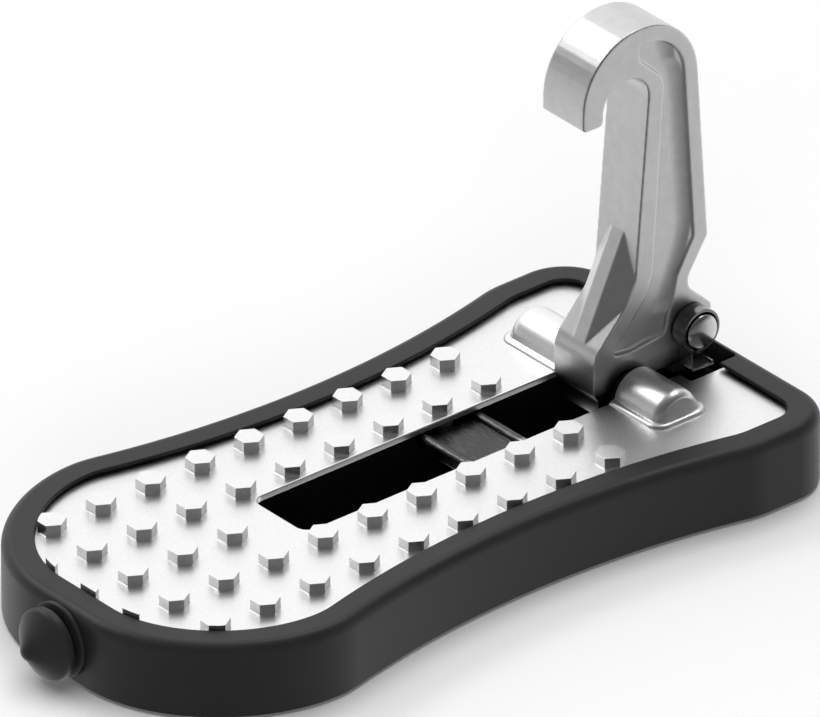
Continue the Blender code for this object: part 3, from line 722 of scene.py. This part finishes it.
def casing_section():
    """The casing's outside, from its bottom edge over the shoulder and rim to under the lip."""
    low = arc((RIM_WIDTH - BOTTOM_EDGE, CASING_BOTTOM + BOTTOM_EDGE), BOTTOM_EDGE, -90.0, 0.0, 3)
    outer = arc((RIM_WIDTH - RIM_ROUND, RIM_TOP - RIM_ROUND), RIM_ROUND, 0.0, 90.0, 10)
    inner = arc((RIM_INNER_EDGE, RIM_TOP - RIM_INNER_EDGE), RIM_INNER_EDGE, 90.0, 180.0, 3)
    return low + outer + inner + [(0.0, LIP_BOTTOM), (LIP_REACH, LIP_BOTTOM), (LIP_REACH, WEB_TOP)]


def make_casing(look):
    """Shell with the slot's well, the notch's floor, the bridge's shelf and the screw posts."""
    shell = loft([[(x, y, z) for x, y in pedal_outline(out)] for out, z in casing_section()])
    inside = WEB_TOP - 0.6
    cavity = along_z(pedal_outline(RIM_WIDTH - WALL), CASING_BOTTOM - 1.0, WEB_BOTTOM)
    right, left = slot_sides(GAP + WELL_WALL)
    well_low = (SLOT_FRONT - GAP - WELL_WALL, right, CASING_BOTTOM + 0.2)
    well = block(well_low, (WELL_REAR + WELL_WALL, left, inside))
    notch_half = NOTCH_HALF + WELL_WALL
    notch_low = (WELL_REAR - 0.5, -notch_half, NOTCH_FLOOR - 2.0)
    notch_floor = block(notch_low, (CASING_HIGH.x - 1.0, notch_half, inside))
    front = BRIDGE_LOW.x
    rear = BRIDGE_HIGH.x
    bed = BRIDGE_LOW.z
    shelf_wall = 2.0
    shelf_half = BRIDGE_HIGH.y + shelf_wall
    shelf_low = (front - shelf_wall, -shelf_half, bed - GAP - 1.9)
    shelf = block(shelf_low, (rear + shelf_wall, shelf_half, inside))
    seat_half = BRIDGE_HIGH.y + GAP
    seat = block((front - GAP, -seat_half, bed - GAP), (rear + GAP, seat_half, 0.0))
    bore = [(CASING_LOW.x - 9.0, HAMMER_BORE), (CASING_LOW.x + 9.0, HAMMER_BORE)]
    screws = mirrored(COVER_SCREWS)
    steps = [
        ("DIFFERENCE", cavity),
        ("UNION", well),
        ("UNION", notch_floor),
        ("UNION", shelf),
        ("UNION", posts(screws, SCREW_POST, COVER_HIGH.z + GAP, inside)),
        ("DIFFERENCE", along_z(slot_outline(), -BIG, BIG)),
        ("DIFFERENCE", soft_opening(notch_outline(), NOTCH_FLOOR, RIM_TOP, EDGE, 3)),
        ("UNION", stop_ledge()),
        ("DIFFERENCE", seat),
        ("DIFFERENCE", together([pad_opening(-1.0), pad_opening(1.0)])),
        ("DIFFERENCE", together([axle_notch(-1.0), axle_notch(1.0)])),
        ("DIFFERENCE", posts(screws, SCREW_HEAD + GAP, SCREW_ROOM, 0.0)),
        ("DIFFERENCE", posts(screws, SCREW_SHANK + GAP, -BIG, SCREW_WEB)),
        ("DIFFERENCE", turned(bore, "X", hammer_centre())),
    ]
    piece = shaped(linked("casing_shell", shell), steps)
    return finished(piece, look, "pedal", ["casing"], 28.0)


def stop_ledge():
    """Ledge under the hook's lug, with rounded upper edges."""
    rings = []
    for shrink, z in (
        (0.0, NOTCH_FLOOR - 1.0), (0.0, STOP_TOP - STOP_EDGE),
        (STOP_EDGE * 0.3, STOP_TOP - STOP_EDGE * 0.3), (STOP_EDGE, STOP_TOP),
    ):
        front = STOP_FRONT + shrink
        rear = STOP_REAR - shrink
        half = STOP_HALF - shrink
        outline = rounded([
            (front, -half, 0.6), (rear, -half, 0.6), (rear, half, 0.6), (front, half, 0.6),
        ], 15.0)
        rings.append([(x, y, z) for x, y in outline])
    return loft(rings)


def pad_opening(side):
    """Room in the casing for one of the plate's axle pads."""
    near, far = sorted((side * (PAD_INNER - GAP), side * (PAD_OUTER + GAP)))
    return block((-PAD_HALF - GAP, near, -8.0), (PAD_HALF + GAP, far, 0.0))


def axle_notch(side):
    """Room in the casing for the axle between the slot and a pad."""
    near, far = sorted((side * (PAD_INNER - 4.0), side * (PAD_INNER + 0.2)))
    edge = AXLE_RADIUS + 2.0 * GAP
    return block((-edge, near, -edge), (edge, far, 0.0))


def stud(x, y):
    """Hexagonal grip stud with a fine edge round its top and a small fillet at its foot."""
    top = STUD_HEIGHT
    rings = []
    for grow, z in ((0.2, SUNK), (0.2, -0.02), (0.09, 0.04), (0.0, 0.18), (0.0, top - 0.1),
                    (-0.03, top - 0.03), (-0.1, top)):
        corners = []
        for side in range(6):
            angle = math.radians(30.0 + 60.0 * side)
            reach = STUD_RADIUS + grow
            corners.append((x + reach * math.cos(angle), y + reach * math.sin(angle), 0.12))
        rings.append([(a, b, z) for a, b in rounded(corners, 30.0)])
    return loft(rings)


def stud_places():
    """Centres of the studs in their rows, (y, first, last) on the grid."""
    places = []
    for y, first, last in STUD_ROWS:
        for index in range(first, last + 1):
            places.append((STUD_FIRST_X + STUD_PITCH * index, y))
    return places


def dome_height(u, v, end):
    """Height of a dome over the tread: a barrel with a bevelled end on a low pillow."""
    out_u = abs(u) - (DOME_SKIRT - DOME_CORNER)
    out_v = v - (end + DOME_SKIRT_OUT - DOME_CORNER)
    corner = math.hypot(max(out_u, 0.0), max(out_v, 0.0)) + min(max(out_u, out_v), 0.0)
    inside = DOME_CORNER - corner
    pillow = -0.3
    if inside > 0.0:
        rise = min(inside / DOME_SKIRT_EDGE, 1.0)
        pillow = DOME_SKIRT_TOP * math.sqrt(1.0 - (1.0 - rise) ** 2) - 0.02
        pillow += DOME_SKIRT_SLOPE * max(inside - DOME_SKIRT_EDGE, 0.0)
    radius = DOME_RADIUS
    if v > end - DOME_ROUND:
        share = min((v - end + DOME_ROUND) / DOME_ROUND, 1.0)
        radius -= DOME_DROP * (1.0 - math.sqrt(1.0 - share * share * 0.96))
    barrel = -1.0
    if v <= end and abs(u) < radius:
        barrel = math.sqrt(radius * radius - u * u)
    high = max(pillow, barrel)
    low = min(pillow, barrel)
    return high + DOME_BLEND * math.log1p(math.exp((low - high) / DOME_BLEND))


def dome(side):
    """One dome as a fine height field over the tread, closed underneath."""
    end = DOME_ENDS[side]
    half = DOME_SKIRT + DOME_MARGIN
    columns = math.ceil(2.0 * half / DOME_GRID)
    start = SLOT_HALF - 1.9
    length = end + DOME_SKIRT_OUT + DOME_MARGIN - start
    rows = math.ceil(length / DOME_GRID)
    mesh = bmesh.new()
    grid = []
    for row in range(rows + 1):
        v = start + length * row / rows
        line = []
        for column in range(columns + 1):
            u = half * (2.0 * column / columns - 1.0)
            line.append(mesh.verts.new(put((DOME_X + u, side * v, dome_height(u, v, end)))))
        grid.append(line)
    for row in range(rows):
        for column in range(columns):
            mesh.faces.new((grid[row][column], grid[row][column + 1],
                            grid[row + 1][column + 1], grid[row + 1][column]))
    border = grid[0][:-1] + [line[-1] for line in grid[:-1]]
    border += grid[-1][:0:-1] + [line[0] for line in grid[:0:-1]]
    below = []
    for vertex in border:
        place = vertex.co.copy()
        place.z = AXLE.z + SUNK * MM
        below.append(mesh.verts.new(place))
    for index in range(len(border)):
        after = (index + 1) % len(border)
        mesh.faces.new((border[index], border[after], below[after], below[index]))
    mesh.faces.new(below)
    bmesh.ops.recalc_face_normals(mesh, faces=mesh.faces)
    return mesh


def axle_pad(side):
    """Block under the plate that holds one end of the axle."""
    near, far = sorted((side * PAD_INNER, side * PAD_OUTER))
    return block((-PAD_HALF, near, PAD_BOTTOM), (PAD_HALF, far, JOIN_Z))


def axle_channel(side):
    """Round-topped channel that the axle is laid into from below."""
    reach = AXLE_RADIUS + GAP
    outline = [(reach, -BIG)] + arc((0.0, 0.0), reach, 0.0, 180.0, 24) + [(-reach, -BIG)]
    near, far = sorted((side * (SLOT_HALF - 2.0), side * AXLE_END))
    return along_y(outline, near, far)


def make_tread(look):
    """Plate with its studs, domes, axle pads and screw posts, opened along the slot."""
    plate = along_z(pedal_outline(LIP_REACH - GAP), PLATE_BOTTOM, 0.0)
    studs = together([stud(x, y) for x, y in stud_places()])
    screws = mirrored(COVER_SCREWS)
    steps = [
        ("UNION", overlap(studs, along_z(pedal_outline(-GAP), -BIG, BIG))),
        ("UNION", together([dome(-1.0), dome(1.0)])),
        ("UNION", together([axle_pad(-1.0), axle_pad(1.0)])),
        ("UNION", posts(screws, SCREW_HEAD, PLATE_POST_BOTTOM, JOIN_Z)),
        ("DIFFERENCE", soft_opening(tee_outline(), -BIG, 0.0, EDGE, 4)),
        ("DIFFERENCE", together([axle_channel(-1.0), axle_channel(1.0)])),
        ("DIFFERENCE", posts(screws, SCREW_SHANK + GAP, -BIG, PLATE_HOLE_TOP)),
    ]
    piece = shaped(linked("tread_sheet", plate), steps)
    return finished(piece, look, "pedal", ["tread_plate"], 30.0)


def make_bridge(look):
    """Metal strip under the plate, dished between two raised round lips."""
    front = BRIDGE_LOW.x
    rear = BRIDGE_HIGH.x
    bottom = BRIDGE_LOW.z
    crest = BRIDGE_HIGH.z
    lip = 2.3
    floor = crest - 1.0
    groove = floor - 0.25
    section = rounded([
        (front, bottom, 0.3), (front, crest, 1.1), (front + lip, crest, 1.1),
        (front + lip, groove, 0.15), (front + lip + 0.5, floor, 0.4),
        (rear - lip - 0.5, floor, 0.4), (rear - lip, groove, 0.15),
        (rear - lip, crest, 1.1), (rear, crest, 1.1), (rear, bottom, 0.3),
    ], 10.0)
    piece = linked("slot_bridge_strip", along_y(section, BRIDGE_LOW.y, BRIDGE_HIGH.y))
    middle = (front + rear) / 2.0
    low, high = measured("bridge_screw_left")
    holes = mirrored([(middle, (low.y + high.y) / 2.0)])
    shaped(piece, [("DIFFERENCE", posts(holes, 1.3, -BIG, BIG))])
    return finished(piece, look, "pedal", ["slot_bridge"], 40.0)


def make_cover(look):
    """Flat bottom with a rounded edge, a window for the slot, screw sinks and foot sockets."""
    low = COVER_LOW.z
    rings = []
    for inset, z in ((0.5, low), (0.15, low + 0.12), (0.0, low + 0.45), (0.0, COVER_HIGH.z)):
        rings.append([(x, y, z) for x, y in pedal_outline(RIM_WIDTH - WALL - GAP - inset)])
    right, left = slot_sides(WELL_WALL + 2.0 * GAP)
    front = SLOT_FRONT - WELL_WALL - 2.0 * GAP
    rear = WELL_REAR + WELL_WALL + GAP
    window = rounded([
        (front, right, 1.5), (rear, right, 1.5), (rear, left, 1.5), (front, left, 1.5),
    ], 15.0)
    screws = mirrored(COVER_SCREWS)
    steps = [
        ("DIFFERENCE", along_z(window, -BIG, BIG)),
        ("DIFFERENCE", posts(screws, SCREW_SHANK + GAP, -BIG, BIG)),
        ("DIFFERENCE", posts(screws, SCREW_HEAD + GAP, -BIG, low + 1.5, 48)),
        ("DIFFERENCE", posts(mirrored(FEET), FOOT_RADIUS + GAP, -BIG, low + FOOT_SINK, 64)),
    ]
    piece = shaped(linked("bottom_panel", loft(rings)), steps)
    return finished(piece, look, "pedal", ["bottom_cover"])


def make_cover_screw(number, place, look):
    """Pan head with a cross recess, seen from below."""
    x, y = place
    low = COVER_LOW.z + 0.1
    head = low + 1.1
    profile = [
        (low, 0.5), (low, SCREW_HEAD - 0.75), (low + 0.1, SCREW_HEAD - 0.35),
        (low + 0.3, SCREW_HEAD - 0.08), (low + 0.5, SCREW_HEAD),
        (head, SCREW_HEAD), (head, SCREW_SHANK), (SCREW_TIP, SCREW_SHANK),
    ]
    piece = linked(f"cover_screw_head_{number}", turned(profile, "Z", (x, y, 0.0), 40))
    cross = []
    for u, v in ((CROSS_REACH, CROSS_HALF), (CROSS_HALF, CROSS_REACH)):
        arm = block((x - u, y - v, low - 1.0), (x + u, y + v, low + 0.75))
        cross.append(("DIFFERENCE", arm))
    shaped(piece, cross)
    return finished(piece, look, "pedal", [f"cover_screw_{number}"])


def make_foot(number, place, look):
    """Soft round pad with a rolled edge and two shallow rings."""
    x, y = place
    top = COVER_LOW.z + 0.5
    groove = FLOOR + 0.15
    profile = [
        (groove, 0.3), (groove, 1.3), (FLOOR, 1.5), (FLOOR, 2.3), (groove, 2.5), (groove, 3.1),
        (FLOOR, 3.3), (FLOOR, FOOT_RADIUS - 0.6), (FLOOR + 0.12, FOOT_RADIUS - 0.25),
        (FLOOR + 0.4, FOOT_RADIUS), (top, FOOT_RADIUS),
    ]
    piece = linked(f"foot_pad_soft_{number}", turned(profile, "Z", (x, y, 0.0), 56))
    return finished(piece, look, "pedal", [f"foot_pad_{number}"])


def hammer_centre():
    """Point on the hammer's axis, which runs along X."""
    return (0.0, 0.0, (HAMMER_LOW.z + HAMMER_HIGH.z) / 2.0)


def make_hammer(look):
    """Blunt cone on a neck, and the collar between it and the casing."""
    rim = HAMMER_HIGH.y
    neck = COLLAR_LOW.x - GAP
    rim_rear = CASING_LOW.x - HAMMER_RIM_BACK
    rim_front = rim_rear - HAMMER_RIM_LENGTH
    profile = [(HAMMER_HIGH.x, HAMMER_SHANK), (neck, HAMMER_SHANK), (neck, HAMMER_NECK)]
    profile += [(rim_rear + 0.6, HAMMER_NECK), (rim_rear + 0.15, 6.2)]
    profile += [(rim_rear - 0.05, rim - 0.25), (rim_rear - 0.35, rim)]
    profile += [(rim_front + 0.5, rim), (rim_front, rim - 0.12), (rim_front - 0.45, rim - 0.5)]
    for degrees in (58.0, 45.0, 32.0, 20.0, 10.0, 4.0):
        angle = math.radians(degrees)
        along = HAMMER_LOW.x + HAMMER_BLUNT * (1.0 - math.cos(angle))
        profile.append((along, HAMMER_BLUNT * math.sin(angle)))
    cone = linked("hammer_head", turned(profile, "X", hammer_centre(), 96))
    finished(cone, look, "pedal", ["hammer_cone"], 50.0)
    wide = COLLAR_HIGH.y
    front = COLLAR_LOW.x
    rear = COLLAR_HIGH.x
    profile = [(front, wide - 0.35), (front + 0.1, wide - 0.12), (front + 0.3, wide), (rear, wide)]
    collar = linked("hammer_ring", turned(profile, "X", hammer_centre(), 96))
    bore = turned([(front - 2.0, HAMMER_BORE), (rear + 2.0, HAMMER_BORE)], "X", hammer_centre())
    shaped(collar, [("DIFFERENCE", bore)])
    finished(collar, look, "pedal", ["hammer_collar"], 50.0)


# --------------------------------------------------------------------- hook

def rear_edge(outline, z):
    """Largest x at which a closed (x, z) outline crosses the height z."""
    crossings = []
    for (x0, z0), (x1, z1) in zip(outline, outline[1:] + outline[:1]):
        if (z0 > z) != (z1 > z):
            crossings.append(x0 + (x1 - x0) * (z - z0) / (z1 - z0))
    return max(crossings)


def pocket_cutter(side):
    """Recess whose floor is flat along the arm's front and sweeps up towards its back edge."""
    outline = pocket_outline()
    low = min(z for _, z in outline) + 0.2
    high = max(z for _, z in outline) - 0.2
    count = 36
    edges = [rear_edge(outline, low + (high - low) * step / count) for step in range(count + 1)]
    # The back edge is averaged over its neighbours, and the end rings reach past the recess.
    rings = []
    for step in range(count + 1):
        around = edges[max(step - 3, 0):step + 4]
        edge = sum(around) / len(around)
        z = low + (high - low) * step / count
        if step == 0:
            z -= 1.0
        if step == count:
            z += 1.0
        ring = [(edge - BIG, POCKET_DEPTH), (edge - POCKET_SWEEP, POCKET_DEPTH)]
        for share in (0.15, 0.3, 0.45, 0.6, 0.7, 0.8, 0.9, 1.0):
            depth = POCKET_DEPTH - (POCKET_DEPTH - POCKET_RIM) * share * share
            ring.append((edge - POCKET_SWEEP * (1.0 - share), depth))
        ring += [(edge + BIG, POCKET_RIM), (edge + BIG, -1.5), (edge - BIG, -1.5)]
        rings.append([(x, side * (HOOK_HALF - depth), z) for x, depth in ring])
    near, far = sorted((side * 0.5, side * (HOOK_HALF + 1.0)))
    return overlap(along_y(outline, near, far), loft(rings))


def rib():
    """Buttress on the hook's front whose sides slope out to the arm's edges."""
    rings = []
    for y in (-RIB_BASE, -RIB_HALF, RIB_HALF, RIB_BASE):
        back = RIB_SET_BACK * (abs(y) - RIB_HALF) / (RIB_BASE - RIB_HALF)
        outline = [(2.84 + back, 31.9), (-7.2 + back, 10.2), (-1.5, 8.5), (4.6, 24.0)]
        rings.append([(x, y, z) for x, z in outline])
    return loft(rings)


def make_hook(look):
    """Casting: the machined shape, remeshed finely and relaxed so that every edge is round."""
    piece = linked("hook_casting", along_y(hook_outline(), -HOOK_HALF, HOOK_HALF))
    steps = [
        ("UNION", rib()),
        ("DIFFERENCE", pocket_cutter(-1.0)),
        ("DIFFERENCE", pocket_cutter(1.0)),
        ("DIFFERENCE", turned([(-BIG, BUSH_BORE), (BIG, BUSH_BORE)], "Y")),
        ("DIFFERENCE", turned([(-BIG, PIN_BORE), (BIG, PIN_BORE)], "Y", (PIN_X, 0.0, PIN_Z))),
    ]
    shaped(piece, steps)
    remesh = piece.modifiers.new("cast", "REMESH")
    remesh.mode = "VOXEL"
    remesh.voxel_size = VOXEL * MM
    relax = piece.modifiers.new("relax", "SMOOTH")
    relax.factor = 0.5
    relax.iterations = 4
    apply_modifiers(piece)
    return finished(piece, look, "hook", ["hook"], 180.0)


def make_pin(look):
    """Pin with a barrel head whose near end is a soft dome."""
    low, high = measured("latch_pin")
    lug_face = -HOOK_HALF - GAP
    profile = [(high.y, PIN_SHANK - 0.4), (high.y - 0.1, PIN_SHANK - 0.15), (high.y - 0.4, PIN_SHANK)]
    profile += [(lug_face, PIN_SHANK), (lug_face, PIN_HEAD - 0.2), (lug_face - 0.2, PIN_HEAD)]
    profile += [(low.y + PIN_CROWN, PIN_HEAD)]
    for step in range(1, 11):
        angle = math.radians(8.6 * step)
        profile.append((low.y + PIN_CROWN * (1.0 - math.sin(angle)), PIN_HEAD * math.cos(angle)))
    piece = linked("latch_pin_barrel", turned(profile, "Y", (PIN_X, 0.0, PIN_Z), 72))
    return finished(piece, look, "hook", ["latch_pin"], 60.0)


def clip_outline():
    """The clip's strip, drawn round the pin's axis: an eye, a straight leg and a short foot."""
    eye = (CLIP_HIGH.z - PIN_Z) - CLIP_HALF_THICK
    leg = CLIP_LEG_X - PIN_X
    foot = CLIP_FOOT_Z - PIN_Z
    end = CLIP_FOOT_X - PIN_X
    leave = 180.0 + math.degrees(math.acos(-leg / eye))
    path = arc((0.0, 0.0), eye, -106.0, leave, 72)
    path += [(leg, foot + 0.7), (leg + 0.12, foot + 0.3), (leg + 0.4, foot + 0.05)]
    path += [(leg + 0.8, foot - 0.02), (end - 0.6, foot - 0.15)]
    halves = [CLIP_HALF_THICK] * len(path)
    path += [(end - 0.2, foot - 0.03), (end, foot), (end + 0.3, foot), (end + 0.5, foot)]
    halves += [0.5, 0.6, 0.55, 0.36]
    left = []
    right = []
    for index, point in enumerate(path):
        here = Vector(point)
        arriving = here - Vector(path[max(index - 1, 0)])
        leaving = Vector(path[min(index + 1, len(path) - 1)]) - here
        arriving = (arriving if index else leaving).normalized()
        leaving = (leaving if index < len(path) - 1 else arriving).normalized()
        normal_in = Vector((-arriving.y, arriving.x))
        normal_out = Vector((-leaving.y, leaving.x))
        miter = (normal_in + normal_out) / (1.0 + normal_in.dot(normal_out))
        left.append(here + miter * halves[index])
        right.append(here - miter * halves[index])
    return [(PIN_X + point.x, PIN_Z + point.y) for point in left + right[::-1]]


def make_clip(look):
    """Spring strip with softened edges."""
    piece = linked("spring_clip", along_y(clip_outline(), CLIP_LOW.y, CLIP_HIGH.y))
    bevelled(piece, 0.14, 60.0)
    return finished(piece, look, "clip", ["latch_clip"], 45.0)


# ------------------------------------------------------------ light and view

def world_ramp(tree, position, direction, stops):
    """Grey level that depends on how far position points along direction."""
    facing = tree.nodes.new("ShaderNodeVectorMath")
    facing.operation = "DOT_PRODUCT"
    facing.inputs[1].default_value = Vector(direction).normalized()
    half = tree.nodes.new("ShaderNodeMapRange")
    half.inputs["From Min"].default_value = -1.0
    half.inputs["From Max"].default_value = 1.0
    ramp = tree.nodes.new("ShaderNodeValToRGB")
    elements = ramp.color_ramp.elements
    while len(elements) < len(stops):
        elements.new(0.5)
    for element, (facing_level, level) in zip(elements, stops):
        element.position = (facing_level + 1.0) / 2.0
        element.color = (level, level, level, 1.0)
    tree.links.new(position, facing.inputs[0])
    tree.links.new(facing.outputs["Value"], half.inputs["Value"])
    tree.links.new(half.outputs["Result"], ramp.inputs["Fac"])
    return ramp.outputs["Color"]


def make_world():
    """A studio that is bright behind the step and dark on the camera's side."""
    world = bpy.data.worlds.new("studio")
    bpy.context.scene.world = world
    world.use_nodes = True
    tree = world.node_tree
    position = tree.nodes.new("ShaderNodeTexCoord").outputs["Generated"]
    low = world_ramp(tree, position, (0.72, 0.695, 0.0), (
        (-1.0, 0.15), (-0.6, 0.16), (-0.25, 0.4), (0.0, 0.66), (0.45, 0.85), (1.0, 0.85),
    ))
    high = world_ramp(tree, position, (0.325, 0.803, 0.5), (
        (-1.0, 0.07), (-0.1, 0.07), (0.5, 0.15), (0.62, 0.27), (0.8, 0.6), (0.95, 0.85),
    ))
    above = world_ramp(tree, position, (0.0, 0.0, 1.0), (
        (-1.0, 0.0), (0.0, 0.0), (0.42, 1.0), (1.0, 1.0),
    ))
    mix = tree.nodes.new("ShaderNodeMix")
    mix.data_type = "RGBA"
    tree.links.new(above, mix.inputs["Factor"])
    tree.links.new(low, mix.inputs["A"])
    tree.links.new(high, mix.inputs["B"])
    background = tree.nodes["Background"]
    tree.links.new(mix.outputs["Result"], background.inputs["Color"])
    background.inputs["Strength"].default_value = 1.25


def make_softbox(name, place, size, watts, mirrored_in_metal):
    """Rectangular light that faces the world's origin; place and size are in metres."""
    light = bpy.data.lights.new(name, "AREA")
    light.shape = "RECTANGLE"
    light.size = size[0]
    light.size_y = size[1]
    light.energy = watts
    made = bpy.data.objects.new(name, light)
    bpy.context.scene.collection.objects.link(made)
    made.location = place
    made.rotation_mode = "QUATERNION"
    made.rotation_quaternion = (-Vector(place)).to_track_quat("-Z", "Y")
    made.visible_glossy = mirrored_in_metal


def make_floor():
    """White ground that the metal does not mirror."""
    look, tree, shader = new_look("floor", grey(0.93), 0.9, 0.0)
    shader.inputs["Specular IOR Level"].default_value = 0.0
    shade = noise(tree, 3.0, 2.0)
    tint(tree, shader, spread(tree, shade, 0.0, 1.0), grey(0.92), grey(0.94))
    half = 4.0
    corners = ((-half, -half, 0.0), (half, -half, 0.0), (half, half, 0.0), (-half, half, 0.0))
    mesh = bmesh.new()
    mesh.faces.new([mesh.verts.new(corner) for corner in corners])
    floor = linked("floor", mesh)
    floor.data.materials.append(look)
    floor.visible_glossy = False


def make_camera():
    """Long lens in front of the pedal, turned to its left and looking down on it."""
    azimuth = math.radians(AZIMUTH)
    elevation = math.radians(ELEVATION)
    level = math.cos(elevation)
    back = Vector((math.sin(azimuth) * level, -math.cos(azimuth) * level, math.sin(elevation)))
    right = Vector((math.cos(azimuth), math.sin(azimuth), 0.0))
    up = back.cross(right)
    aim = put(AIM) - right * AIM_LEFT * MM + up * AIM_UP * MM
    lens = 1200.0
    sensor = 36.0
    data = bpy.data.cameras.new("camera")
    data.lens = lens
    data.sensor_width = sensor
    data.clip_end = 100.0
    camera = bpy.data.objects.new("camera", data)
    bpy.context.scene.collection.objects.link(camera)
    camera.location = aim + back * VIEW_WIDTH * MM * lens / sensor
    camera.rotation_mode = "QUATERNION"
    camera.rotation_quaternion = back.to_track_quat("Z", "Y")
    bpy.context.scene.camera = camera


def paint(nodes, look):
    """Gives a material to CAD nodes that are shown as they are."""
    for node in nodes:
        piece = frame["nodes"][node]
        piece.data.materials.clear()
        piece.data.materials.append(look)


def build_pieces():
    """Every visible piece with its material."""
    plastic = plastic_look("black_plastic", BLACK)
    plated = steel_look("plated_steel", 0.5, 0.3, (1.0, 1.0, 5.0))
    rubber = rubber_look()
    make_casing(casing_look())
    make_tread(satin_look())
    make_bridge(bridge_look())
    make_cover(plastic)
    make_hammer(plastic)
    for number, place in enumerate(mirrored(COVER_SCREWS), 1):
        make_cover_screw(number, place, plated)
    for number, place in enumerate(mirrored(FEET), 1):
        make_foot(number, place, rubber)
    make_hook(cast_look("cast_metal", 0.66, 0.36, 0.08, True))
    make_pin(cast_look("pin_metal", 0.56, 0.2, 0.03, False))
    make_clip(steel_look("spring_steel", 0.24, 0.18, (1.0, 8.0, 1.0)))
    plated_nodes = ["hook_axle", "hammer_nut", "pin_ring", "bridge_screw_left", "bridge_screw_right"]
    for side in ("left", "right"):
        plated_nodes += [f"axle_keeper_{side}", f"keeper_screw_{side}_front", f"keeper_screw_{side}_rear"]
    paint(plated_nodes, plated)
    paint(["hook_bush", "thrust_washer_left", "thrust_washer_right"], bronze_look())


def build_studio():
    """World, lights, floor and camera."""
    bpy.context.scene.view_settings.view_transform = "Standard"
    make_world()
    make_softbox("top", (0.54, 0.15, 1.06), (0.5, 0.5), 2.0, True)
    make_softbox("back", (-0.27, 0.84, 0.95), (0.9, 0.3), 3.2, True)
    make_softbox("fill", (0.0, 0.0, 2.0), (2.0, 2.0), 20.0, False)
    make_softbox("front", (-1.6, -1.9, 0.6), (1.6, 0.8), 26.0, False)
    make_floor()
    make_camera()


build_pieces()
build_studio()
